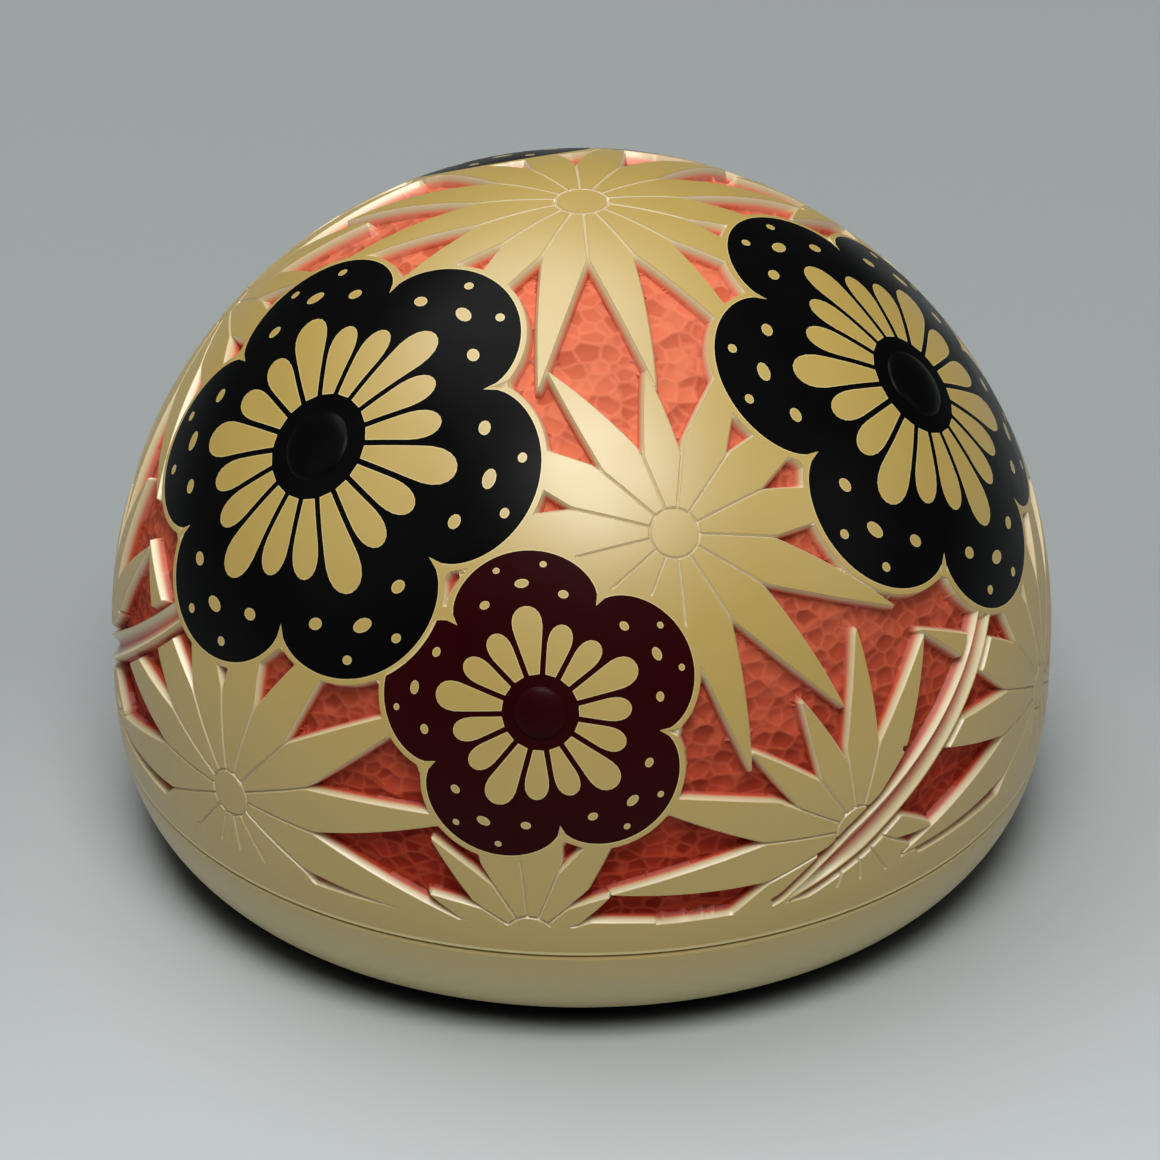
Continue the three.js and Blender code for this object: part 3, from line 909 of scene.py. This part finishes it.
# Depths in millimetres at which the cut tan ends, the red begins and the last shade of red is reached
cutFinish = {
    # The cream is the paler cut edge of the tan, and partly painted highlight for the light the cut walls
    # catch
    "cream": (0.67, 0.57, 0.36), "pale": (0.68, 0.55, 0.23), "creamShare": 0.6,
    "tanEnds": 0.42, "redBegins": 0.74, "redEnds": 1.05, "deepest": 1.4,
    "cutBegins": 0.028, "cutFull": 0.07,
}
gougeRule = {
    "size": 1.7 * mm, "squash": 1.4, "random": 0.9, "depth": 0.16 * mm, "rise": 2.2,
    "smooth": 0.35, "ridge": 0.15, "ridgeShare": 0.5, "tintFrom": 0.2, "tintTo": 0.8,
    "fineHeight": 0.30 * mm, "bowlPower": 2.0,
}
wearFrom, wearTo = 0.3, 0.7  # of the noise that varies a finish's roughness


def tanColour(nodes, links):
    patches = noiseAt(nodes, links, tanFinish["patches"], tanFinish["patchDetail"])
    return blendOf(nodes, links, patches, tanFinish["dark"], tanFinish["light"])


def satin(nodes, links, shader, polished=True, duller=None, after=None):
    roughness, spread = tanFinish["roughness"], tanFinish["spread"]
    worn = noiseAt(nodes, links, tanFinish["wear"], tanFinish["wearDetail"])
    rough = rangeOf(nodes, links, worn, wearFrom, wearTo, roughness - spread, roughness + spread)
    if duller:
        added = nodes.new("ShaderNodeMath")
        links.new(rough, added.inputs[0])
        links.new(rangeOf(nodes, links, duller, 0, 1, 0, redFinish["duller"]), added.inputs[1])
        rough = added.outputs[0]
    links.new(rough, shader.inputs["Roughness"])
    grain = noiseAt(nodes, links, tanFinish["grain"], tanFinish["grainDetail"])
    grained = bumpOf(nodes, links, grain, tanFinish["grainHeight"], tanFinish["grainShare"], after)
    links.new(grained, shader.inputs["Normal"])
    specular = tanFinish["specular"] if polished else redFinish["specular"]
    shader.inputs["Specular IOR Level"].default_value = specular
    shader.inputs["Coat Weight"].default_value = tanFinish["coat"] if polished else 0
    shader.inputs["Coat Roughness"].default_value = tanFinish["coatRoughness"]


def tanLacquer():
    material, nodes, links, shader = newMaterial("tan_lacquer")
    # Painted bounce light: the base pales from the seam down to the foot
    height = alongAxis(nodes, links, "Z", baseTanAndPaintedBounce["low"], baseTanAndPaintedBounce["high"])
    colour = blendOf(nodes, links, height, baseTanAndPaintedBounce["foot"], baseTanAndPaintedBounce["seam"])
    links.new(colour, shader.inputs["Base Color"])
    satin(nodes, links, shader)
    return material


def gougeCells(nodes, links, feature):
    cells = nodes.new("ShaderNodeTexVoronoi")
    cells.feature = feature
    cells.inputs["Scale"].default_value = 1 / gougeRule["size"]
    if feature == "SMOOTH_F1":
        cells.inputs["Smoothness"].default_value = gougeRule["smooth"]
    cells.inputs["Randomness"].default_value = gougeRule["random"]
    links.new(stretchedPlace(nodes, links, (1, 1, gougeRule["squash"])), cells.inputs["Vector"])
    return cells


def carvedLacquer(name, polished):
    # Tan on top, its cut edge just below, then the red that the gouge has reached
    material, nodes, links, shader = newMaterial(name)
    stages = ("cutBegins", "cutFull", "tanEnds", "redBegins", "redEnds")
    cut = {stage: cutFinish[stage] / cutFinish["deepest"] for stage in stages}
    off, on, nearlyOn = (0, 0, 0), (1, 1, 1), (cutFinish["creamShare"],) * 3
    carve = rangeOf(nodes, links, attributeOf(nodes, "carve"), 0, cutFinish["deepest"], 0, 1)
    # Painted shade: the reds darken from near the top of the lid down towards the rim
    height = alongAxis(nodes, links, "Z", redFinish["low"], redFinish["high"])
    light, dark, ridge = (blendOf(nodes, links, height, *redFinish[shade])
                          for shade in ("light", "dark", "ridge"))
    scoops = gougeCells(nodes, links, "SMOOTH_F1")
    edges = gougeCells(nodes, links, "DISTANCE_TO_EDGE")
    # Painted shade and highlight: a random red for each scoop, and a lighter red along its ridges
    tint = rangeOf(nodes, links, scoops.outputs["Color"], gougeRule["tintFrom"], gougeRule["tintTo"], 0, 1)
    paintedRidgeHighlight = rangeOf(nodes, links, edges.outputs["Distance"],
                      0, gougeRule["ridge"], gougeRule["ridgeShare"], 0)
    scooped = blendOf(nodes, links, paintedRidgeHighlight, blendOf(nodes, links, tint, dark, light), ridge)
    lower = rampOf(nodes, links, carve, [(0, off), (cut["redBegins"], off), (cut["redEnds"], on)])
    red = blendOf(nodes, links, lower, ridge, scooped)
    isRed = rampOf(nodes, links, carve, [(0, off), (cut["tanEnds"], off), (cut["redBegins"], on)])
    isCut = rampOf(nodes, links, carve,
                   [(0, off), (cut["cutBegins"], off), (cut["cutFull"], on), (cut["tanEnds"], nearlyOn)])
    top = blendOf(nodes, links, attributeOf(nodes, "pale"), tanColour(nodes, links), cutFinish["pale"])
    tanCut = blendOf(nodes, links, isCut, top, cutFinish["cream"])
    links.new(blendOf(nodes, links, isRed, tanCut, red), shader.inputs["Base Color"])
    bowl = nodes.new("ShaderNodeMath")
    bowl.operation = "POWER"
    bowl.inputs[1].default_value = gougeRule["bowlPower"]
    links.new(scoops.outputs["Distance"], bowl.inputs[0])
    fine = bumpOf(nodes, links, bowl.outputs[0], gougeRule["fineHeight"], 0.0)
    links.new(attributeOf(nodes, "gouge"), fine.node.inputs["Strength"])
    satin(nodes, links, shader, polished, isRed, fine)
    return material


# Colour and roughness of each polished lacquer, and what they share
glossFinish = {
    "black": ((0.0010, 0.0010, 0.0012), 0.31), "maroon": ((0.017, 0.0005, 0.0008), 0.34),
    "specular": 0.05, "clouds": 60, "cloudDetail": 3, "lighter": 1.6, "lift": 0.0015,
    "wear": 240, "wearDetail": 4, "spread": 0.15,
    "grain": 420, "grainDetail": 2, "grainHeight": 0.006 * mm, "grainShare": 0.4,
}


def glossyLacquer(tone):
    material, nodes, links, shader = newMaterial(f"{tone}_lacquer")
    colour, roughness = glossFinish[tone]
    cloud = noiseAt(nodes, links, glossFinish["clouds"], glossFinish["cloudDetail"])
    lighter = tuple(channel * glossFinish["lighter"] + glossFinish["lift"] for channel in colour)
    links.new(blendOf(nodes, links, cloud, colour, lighter), shader.inputs["Base Color"])
    worn = noiseAt(nodes, links, glossFinish["wear"], glossFinish["wearDetail"])
    smooth, rough = roughness * (1 - glossFinish["spread"]), roughness * (1 + glossFinish["spread"])
    links.new(rangeOf(nodes, links, worn, wearFrom, wearTo, smooth, rough), shader.inputs["Roughness"])
    grain = noiseAt(nodes, links, glossFinish["grain"], glossFinish["grainDetail"])
    grained = bumpOf(nodes, links, grain, glossFinish["grainHeight"], glossFinish["grainShare"])
    links.new(grained, shader.inputs["Normal"])
    shader.inputs["Specular IOR Level"].default_value = glossFinish["specular"]
    return material


# The core's wood, lacquered black where it ends at the seam
woodFinish = {
    "stretch": (220, 30, 220), "detail": 5, "dark": (0.16, 0.09, 0.045), "light": (0.30, 0.19, 0.10),
    "lacquer": (0.0018, 0.0018, 0.0020), "low": 9.75 * mm, "high": 9.85 * mm,
    "bare": 0.7, "polished": 0.33, "specular": 0.3, "grainHeight": 0.01 * mm, "grainShare": 0.4,
}


def turnedWood():
    material, nodes, links, shader = newMaterial("turned_wood")
    place = stretchedPlace(nodes, links, woodFinish["stretch"])
    grain = noiseAt(nodes, links, 1, woodFinish["detail"], place)
    wood = blendOf(nodes, links, grain, woodFinish["dark"], woodFinish["light"])
    lacquered = alongAxis(nodes, links, "Z", woodFinish["low"], woodFinish["high"])
    links.new(blendOf(nodes, links, lacquered, wood, woodFinish["lacquer"]), shader.inputs["Base Color"])
    grained = bumpOf(nodes, links, grain, woodFinish["grainHeight"], woodFinish["grainShare"])
    links.new(grained, shader.inputs["Normal"])
    rough = rangeOf(nodes, links, lacquered, 0, 1, woodFinish["bare"], woodFinish["polished"])
    links.new(rough, shader.inputs["Roughness"])
    shader.inputs["Specular IOR Level"].default_value = woodFinish["specular"]
    return material


finishes = {
    "tan": tanLacquer(),
    "carved": carvedLacquer("carved_lacquer", True),
    "ground": carvedLacquer("carved_ground", False),
    "black": glossyLacquer("black"),
    "maroon": glossyLacquer("maroon"),
    "wood": turnedWood(),
}
print("finishes mixed:", len(finishes))


# Geometry node trees
def newTree(name, inputs):
    tree = bpy.data.node_groups.new(name, "GeometryNodeTree")
    tree.interface.new_socket("Geometry", in_out="INPUT", socket_type="NodeSocketGeometry")
    identifiers = {label: tree.interface.new_socket(label, in_out="INPUT", socket_type=kind).identifier
                   for label, kind in inputs}
    tree.interface.new_socket("Geometry", in_out="OUTPUT", socket_type="NodeSocketGeometry")
    return tree, identifiers, tree.nodes.new("NodeGroupInput")


def endTree(tree, entry, geometry):
    realize = tree.nodes.new("GeometryNodeRealizeInstances")
    setMaterial = tree.nodes.new("GeometryNodeSetMaterial")
    leave = tree.nodes.new("NodeGroupOutput")
    tree.links.new(geometry, realize.inputs[0])
    tree.links.new(realize.outputs[0], setMaterial.inputs["Geometry"])
    tree.links.new(entry.outputs["Material"], setMaterial.inputs["Material"])
    tree.links.new(setMaterial.outputs[0], leave.inputs[0])


def runTree(piece, tree, identifiers, settings):
    modifier = piece.modifiers.new("shape", "NODES")
    modifier.node_group = tree
    for label, value in settings.items():
        modifier[identifiers[label]] = value
    shaped = bpy.data.meshes.new_from_object(piece.evaluated_get(bpy.context.evaluated_depsgraph_get()))
    piece.modifiers.clear()
    old = piece.data
    piece.data = shaped
    bpy.data.meshes.remove(old)
    shaped.name = piece.name


def mathNode(tree, operation, first, second):
    node = tree.nodes.new("ShaderNodeMath")
    node.operation = operation
    for socket, value in zip(node.inputs, (first, second)):
        if isinstance(value, (int, float)):
            socket.default_value = value
        else:
            tree.links.new(value, socket)
    return node.outputs[0]


def vectorNode(tree, operation, first, second):
    node = tree.nodes.new("ShaderNodeVectorMath")
    node.operation = operation
    tree.links.new(first, node.inputs[0])
    tree.links.new(second, node.inputs["Scale" if operation == "SCALE" else 1])
    return node.outputs[0]


def namedValue(tree, name, kind="FLOAT"):
    node = tree.nodes.new("GeometryNodeInputNamedAttribute")
    node.data_type = kind
    node.inputs["Name"].default_value = name
    return node.outputs["Attribute"]


def gougeTree():
    # Shallow scoops over the carved ground, each a cell with a soft ridge round it
    tree, identifiers, entry = newTree("gouged_ground", [
        ("Gouge Size", "NodeSocketFloat"), ("Gouge Depth", "NodeSocketFloat"),
        ("Material", "NodeSocketMaterial")])
    cells = tree.nodes.new("ShaderNodeTexVoronoi")
    cells.feature = "F1"
    cells.inputs["Randomness"].default_value = gougeRule["random"]
    squash = tree.nodes.new("ShaderNodeVectorMath")
    squash.operation = "MULTIPLY"
    squash.inputs[1].default_value = (1, 1, gougeRule["squash"])
    tree.links.new(tree.nodes.new("GeometryNodeInputPosition").outputs[0], squash.inputs[0])
    tree.links.new(squash.outputs[0], cells.inputs["Vector"])
    tree.links.new(mathNode(tree, "DIVIDE", 1.0, entry.outputs["Gouge Size"]), cells.inputs["Scale"])
    bowl = mathNode(tree, "POWER", cells.outputs["Distance"], gougeRule["bowlPower"])
    deepened = mathNode(tree, "MULTIPLY", bowl, entry.outputs["Gouge Depth"])
    raised = mathNode(tree, "MULTIPLY", deepened, gougeRule["rise"])
    lowered = mathNode(tree, "SUBTRACT", raised, entry.outputs["Gouge Depth"])
    moved = mathNode(tree, "MULTIPLY", lowered, namedValue(tree, "gouge"))
    offset = vectorNode(tree, "SCALE", namedValue(tree, "outward", "FLOAT_VECTOR"), moved)
    setPosition = tree.nodes.new("GeometryNodeSetPosition")
    tree.links.new(entry.outputs["Geometry"], setPosition.inputs["Geometry"])
    tree.links.new(offset, setPosition.inputs["Offset"])
    endTree(tree, entry, setPosition.outputs[0])
    return tree, identifiers


sweepRadius = 1.0


def turningTree():
    # A profile turned about the upright axis. Its places are measured from a circle of the sweep's radius.
    tree, identifiers, entry = newTree("turned_on_axis", [
        ("Sides", "NodeSocketInt"), ("Weld", "NodeSocketFloat"), ("Material", "NodeSocketMaterial")])
    toCurve = tree.nodes.new("GeometryNodeMeshToCurve")
    circle = tree.nodes.new("GeometryNodeCurvePrimitiveCircle")
    circle.inputs["Radius"].default_value = sweepRadius
    upright = tree.nodes.new("GeometryNodeSetCurveNormal")
    upright.mode = "Z_UP"
    sweep = tree.nodes.new("GeometryNodeCurveToMesh")
    merge = tree.nodes.new("GeometryNodeMergeByDistance")
    tree.links.new(entry.outputs["Geometry"], toCurve.inputs[0])
    tree.links.new(entry.outputs["Sides"], circle.inputs["Resolution"])
    tree.links.new(circle.outputs["Curve"], upright.inputs["Curve"])
    tree.links.new(upright.outputs[0], sweep.inputs["Curve"])
    tree.links.new(toCurve.outputs[0], sweep.inputs["Profile Curve"])
    tree.links.new(sweep.outputs[0], merge.inputs["Geometry"])
    tree.links.new(entry.outputs["Weld"], merge.inputs["Distance"])
    endTree(tree, entry, merge.outputs[0])
    return tree, identifiers


def cornersOf(mesh):
    points = np.empty(len(mesh.vertices) * 3)
    mesh.vertices.foreach_get("co", points)
    return points.reshape(-1, 3)


runTree(carvedLid, *gougeTree(), {
    "Gouge Size": gougeRule["size"], "Gouge Depth": gougeRule["depth"], "Material": finishes["carved"]})
# Faces that lie wholly in the red take the matt finish
inRed = values["carve"][faces].min(axis=1) > cutFinish["redBegins"]
carvedLid.data.materials.append(finishes["ground"])
carvedLid.data.polygons.foreach_set("material_index", inRed.astype(np.int32))
points = cornersOf(carvedLid.data)
normals = softNormals(points, faces, group, sharpFrom["carving"])
tops = np.repeat(group == tan, 3)
normals[tops] = outwardOf(outsidePlaces[faces.ravel()[tops]])
carvedLid.data.normals_split_custom_set(normals.tolist())
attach(carvedLid, "lid")
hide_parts("lid_tan_layer", "lid_red_layer")
print("ground gouged:", len(points), "points")


# Inlaid blossoms, flush with the tan, and their raised centres
bossRule = {"height": 0.5 * mm, "overlap": 0.1 * mm, "dip": 0.03 * mm, "plugShare": 0.97,
            "plugDepth": 0.3 * mm, "sides": 48, "rows": 8}


def inlay(blossom):
    mine = np.where(label == blossom["label"])[0]
    centres = unit(places[triangles[mine]].mean(axis=1))
    same = [other for other in blossoms if other["label"] == blossom["label"]]
    nearest = np.argmax([centres @ other["axes"][0] for other in same], axis=0)
    face = triangles[mine[nearest == blossom["number"] - 1]]
    used, number = renumbered(face)
    top = number[face]
    below = np.arange(len(used)) + len(used)
    points = np.vstack([surfaceOf(places[used]), surfaceOf(places[used], ornament["plate"])])
    sides = bridge(boundaryOf(top), below)
    faces = np.vstack([top, below[top][:, ::-1], sides])
    piece = newPiece(f"{blossom['name']}_{blossom['number']}", points, faces)
    group = np.repeat([0, 1, 2], [len(top), len(top), len(sides)])
    normals = softNormals(points, faces, group, sharpFrom["inlay"])
    normals[:3 * len(top)] = outwardOf(places[face.ravel()])
    piece.data.normals_split_custom_set(normals.tolist())
    return piece


def boss(blossom):
    radius = blossom["boss"] + bossRule["overlap"]
    sweep = np.linspace(0, math.pi / 2, bossRule["rows"])
    profile = [(radius * math.sin(angle), bossRule["height"] * math.cos(angle)) for angle in sweep[1:]]
    plug = blossom["boss"] * bossRule["plugShare"]
    profile += [(plug, -bossRule["dip"]), (plug, -bossRule["plugDepth"])]
    turns = turnsRound(bossRule["sides"])
    circles = [surfaceOf(fromMotif(blossom["axes"], away, turns), -height) for away, height in profile]
    ends = np.array([-bossRule["height"], bossRule["plugDepth"]])
    poles = surfaceOf(np.array([blossom["axes"][0]] * 2), ends)
    points = np.vstack(circles + [poles])
    steps = bossRule["sides"]
    rings = [k * steps + np.arange(steps) for k in range(len(circles))]
    top, bottom = np.full(steps, len(points) - 2), np.full(steps, len(points) - 1)
    faces = [np.column_stack([top, rings[0], np.roll(rings[0], -1)])]
    for first, second in zip(rings, rings[1:]):
        faces += bandFaces(first, second)
    faces.append(np.column_stack([bottom, np.roll(rings[-1], -1), rings[-1]]))
    name = blossom["name"].replace("Blossom", "Boss")
    return newPiece(f"{name}_{blossom['number']}", points, np.vstack(faces))


for blossom in blossoms:
    finish = "black" if blossom["label"] == black else "maroon"
    for make, node in ((inlay, "blossom"), (boss, "boss")):
        piece = make(blossom)
        piece.data.materials.append(finishes[finish])
        if make is boss:
            piece.data.set_sharp_from_angle(angle=math.radians(sharpFrom["boss"]))
        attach(piece, "lid")
        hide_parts(f"{finish}_{node}_{blossom['number']}")
print("blossoms inlaid:", len(blossoms))


# Turned pieces. Sizes in millimetres, with levels and radii worked out from the frame's form.
turning = {
    "sides": 160, "domeRows": 48, "bandRows": 24, "coatRows": 4, "arcPoints": 10, "weld": 0.001 * mm,
    "tan": 0.6, "red": 1.2, "core": 1.6, "lining": 0.5, "underside": 0.4, "bond": 0.1,
    "upstandHeight": 3.2, "upstandDepth": 2.6, "upstandWidth": 1.5, "chamfer": 0.4, "lidClearance": 0.3,
    "floor": 2.0, "bowlCorner": 2.5, "footRadius": 33, "footWidth": 3, "footHeight": 1.9,
    "edgeRound": 0.15, "bandRound": 0.4,
}


def wallCurve(inset, fromLevel, toLevel, rows):
    # Radius and height along the wall at an inset, between two levels or from the top down to one
    start = 0.0 if fromLevel is None else rimTilt(fromLevel * mm, inset * mm)
    tilts = np.linspace(start, rimTilt(toLevel * mm, inset * mm), rows)
    points = surfaceOf(np.column_stack([np.sin(tilts), np.zeros(rows), np.cos(tilts)]), inset * mm)
    return [tuple(point) for point in (points[:, [0, 2]] / mm).tolist()]


def rounded(corner, before, after, radius):
    # Three points that take the sharpness off a corner
    corner, before, after = (np.array(point, float) for point in (corner, before, after))
    first, last = (corner + (point - corner) / np.linalg.norm(point - corner) * radius
                   for point in (before, after))
    soft = corner * 0.5 + (first + last) * 0.25
    return [tuple(first), tuple(soft), tuple(last)]


def softened(profile, corners, radius):
    result = []
    for i, point in enumerate(profile):
        if i in corners:
            result += rounded(point, profile[i - 1], profile[(i + 1) % len(profile)], radius)
        else:
            result.append(tuple(point))
    return result


onAxis = turningTree()


def turnedPiece(name, profile, finish, closed=True):
    # A closed profile, or one that starts and ends on the axis
    points = [(radius * mm - sweepRadius, -height * mm, 0) for radius, height in profile]
    edges = [(i, i + 1) for i in range(len(points) - 1)]
    if closed:
        edges.append((len(points) - 1, 0))
    mesh = bpy.data.meshes.new(name)
    mesh.from_pydata(points, edges, [])
    piece = inScene(name, mesh)
    runTree(piece, *onAxis, {
        "Sides": turning["sides"], "Weld": turning["weld"], "Material": finishes[finish]})
    mesh = piece.data
    mesh.calc_loop_triangles()
    corners = cornersOf(mesh)
    thirds = np.array([triangle.vertices[:] for triangle in mesh.loop_triangles])
    a, b, c = (corners[thirds[:, k]] for k in range(3))
    if (a * np.cross(b, c)).sum() < 0:
        mesh.flip_normals()
    mesh.shade_smooth()
    mesh.set_sharp_from_angle(angle=math.radians(sharpFrom["turned"]))
    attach(piece, "lid" if name.startswith("lid") else "base")
    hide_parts(name.removesuffix("_turned"))
    return piece


underside, shoulder, rim = form["underside"] / mm, form["shoulder"] / mm, form["rim"] / mm
bond = turning["bond"]
coreLevel = underside + turning["underside"] + bond
coreInset = turning["tan"] + turning["red"] + 2 * bond
liningInset = coreInset + turning["core"] + bond
wallInset = liningInset + turning["lining"]
upstandRadius = wallCurve(wallInset, rim, rim, 1)[0][0] - turning["lidClearance"]
upstandBore = upstandRadius - turning["upstandWidth"]
ledge = shoulder - turning["upstandDepth"] - bond
bowlRadius = upstandBore + turning["lining"] + bond


def bowlCurve(inset, top):
    corner = turning["bowlCorner"]
    across, level, radius = bowlRadius - corner, coreLevel + turning["floor"] + corner, corner - inset
    arc = [(across + radius * math.sin(angle), level - radius * math.cos(angle))
           for angle in np.linspace(0, math.pi / 2, turning["arcPoints"])]
    return [(0, level - radius)] + arc + [(across + radius, top)]


def shellProfile(outer, inner):
    outside, inside = (wallCurve(inset, None, rim, turning["domeRows"]) for inset in (outer, inner))
    return outside + inside[::-1]


def turnLid():
    core = shellProfile(coreInset, coreInset + turning["core"])
    turnedPiece("lid_core_turned", core, "wood", False)
    lining = shellProfile(liningInset, wallInset)
    turnedPiece("lid_lining_turned", lining, "black", False)


def turnBase():
    rows, underTan = turning["bandRows"], turning["tan"] + bond
    band = wallCurve(0, shoulder, underside, rows)
    back = wallCurve(turning["tan"], shoulder, underside, rows)[::-1]
    profile = softened(band + back, (0, len(band) - 1), turning["bandRound"])
    turnedPiece("base_tan_layer_turned", profile, "tan")

    rebate = [(upstandRadius + bond, ledge), (upstandRadius + bond, shoulder)]
    outside = wallCurve(underTan, shoulder, coreLevel, rows)
    core = bowlCurve(0, ledge) + rebate + outside + [(0, coreLevel)]
    turnedPiece("base_core_turned", core, "wood", False)

    lining = bowlCurve(bond + turning["lining"], ledge) + bowlCurve(bond, ledge)[::-1]
    turnedPiece("base_lining_turned", lining, "black", False)

    top = underside + turning["underside"]
    coat = [(0, top)] + wallCurve(underTan, top, underside, turning["coatRows"]) + [(0, underside)]
    turnedPiece("base_underside_turned", coat, "black", False)

    high, low = shoulder + turning["upstandHeight"], shoulder - turning["upstandDepth"]
    chamfer = turning["chamfer"]
    wall = [(upstandBore, high), (upstandRadius - chamfer, high), (upstandRadius, high - chamfer),
            (upstandRadius, low), (upstandBore, low)]
    wall = softened(wall, (0, 1, 2), turning["edgeRound"])
    turnedPiece("seat_upstand_turned", wall, "black")

    outer, top = turning["footRadius"], turning["footHeight"]
    inner = outer - turning["footWidth"]
    foot = softened([(inner, 0), (outer, 0), (outer, top), (inner, top)], (0, 1), turning["edgeRound"])
    turnedPiece("foot_ring_turned", foot, "black")


turnLid()
turnBase()
print("lid and base turned")


# Floor, light and camera
stageRule = {
    # Painted shade: the floor is paler in front of the object and darker behind it, as the object's shadow
    # would make it
    "floorSize": 6.0, "floorNear": (0.420, 0.452, 0.458), "floorFar": (0.280, 0.300, 0.305),
    "nearEdge": -0.06, "farEdge": 0.025,
    # Painted shadow: the floor is coloured near black in a ring round the foot, standing in for the contact
    # shadow under the base
    "paintedShadow": (0.020, 0.022, 0.022), "paintedShadowNear": 35.5 * mm, "paintedShadowFar": 41.5 * mm,  # round the foot
    "bump": 900, "bumpDetail": 3, "bumpHeight": 0.25 * mm, "bumpShare": 0.25,
    "roughness": 0.9, "specular": 0.2,
    "world": 0.035, "worldColour": (0.80, 0.86, 0.90),
}
warm, cool = (1.0, 0.99, 0.96), (0.98, 0.99, 1.0)
# Each lamp: the way to it from the middle of the widest circle, its distance, width and power
lamps = [
    {"name": "key", "way": (0.032, -0.411, 0.910), "away": 1.1, "size": 0.62, "power": 10.0,
     "colour": (1.0, 0.99, 0.97)},
    {"name": "overhead", "way": (-0.16, 0.28, 0.95), "away": 1.3, "size": 1.1, "power": 10.5,
     "colour": cool},
    {"name": "right", "way": (0.84, -0.2, 0.5), "away": 1.55, "size": 0.9, "power": 1.9, "colour": warm},
    {"name": "left", "way": (-0.84, -0.3, 0.5), "away": 1.55, "size": 0.9, "power": 0.9, "colour": warm},
    {"name": "front", "way": (0.0, -0.88, 0.48), "away": 1.4, "size": 0.9, "power": 0.6, "colour": warm},
]
shot = {"elevation": 31.03, "distance": 0.602, "above": 3.427 * mm, "left": 0.145 * mm,
        "fieldOfView": 10.105}


def pointAt(piece, place, target):
    piece.location = place
    piece.rotation_euler = (Vector(target) - Vector(place)).to_track_quat("-Z", "Y").to_euler()


def layFloor():
    half = stageRule["floorSize"] / 2
    corners = [(-half, -half, 0), (half, -half, 0), (half, half, 0), (-half, half, 0)]
    mesh = bpy.data.meshes.new("floor")
    mesh.from_pydata(corners, [], [(0, 1, 2, 3)])
    floor = inScene("floor", mesh)
    material, nodes, links, shader = newMaterial("pale_floor")
    # Painted shade: the grey darkens from in front of the object to behind it
    share = alongAxis(nodes, links, "Y", stageRule["nearEdge"], stageRule["farEdge"])
    grey = blendOf(nodes, links, share, stageRule["floorNear"], stageRule["floorFar"])
    # Painted contact shadow: near black close round the foot, fading out into the grey floor
    length = nodes.new("ShaderNodeVectorMath")
    length.operation = "LENGTH"
    links.new(placeOf(nodes), length.inputs[0])
    away = rangeOf(nodes, links, length.outputs["Value"],
                   stageRule["paintedShadowNear"], stageRule["paintedShadowFar"], 0, 1)
    away.node.interpolation_type = "SMOOTHSTEP"
    links.new(blendOf(nodes, links, away, stageRule["paintedShadow"], grey), shader.inputs["Base Color"])
    fleck = noiseAt(nodes, links, stageRule["bump"], stageRule["bumpDetail"])
    rough = bumpOf(nodes, links, fleck, stageRule["bumpHeight"], stageRule["bumpShare"])
    links.new(rough, shader.inputs["Normal"])
    shader.inputs["Roughness"].default_value = stageRule["roughness"]
    shader.inputs["Specular IOR Level"].default_value = stageRule["specular"]
    mesh.materials.append(material)


def softLamp(lamp):
    light = bpy.data.lights.new(lamp["name"], "AREA")
    light.shape = "DISK"
    light.size = lamp["size"]
    light.energy = lamp["power"]
    light.color = lamp["colour"]
    away = Vector(lamp["way"]).normalized() * lamp["away"]
    pointAt(inScene(lamp["name"], light), Vector(middle) + away, middle)


def lightScene():
    for lamp in lamps:
        softLamp(lamp)
    world = bpy.data.worlds.new("studio")
    world.use_nodes = True
    background = world.node_tree.nodes["Background"]
    background.inputs["Color"].default_value = (*stageRule["worldColour"], 1)
    background.inputs["Strength"].default_value = stageRule["world"]
    scene.world = world


def placeCamera():
    tilt = math.radians(shot["elevation"])
    back = Vector((0, -math.cos(tilt), math.sin(tilt)))
    up = Vector((0, math.sin(tilt), math.cos(tilt)))
    target = Vector(middle) + up * shot["above"] - Vector((shot["left"], 0, 0))
    camera = bpy.data.cameras.new("camera")
    camera.angle = math.radians(shot["fieldOfView"])
    piece = inScene("camera", camera)
    pointAt(piece, Vector(middle) + back * shot["distance"], target)
    scene.camera = piece


layFloor()
lightScene()
placeCamera()
scene.view_settings.view_transform = "Standard"
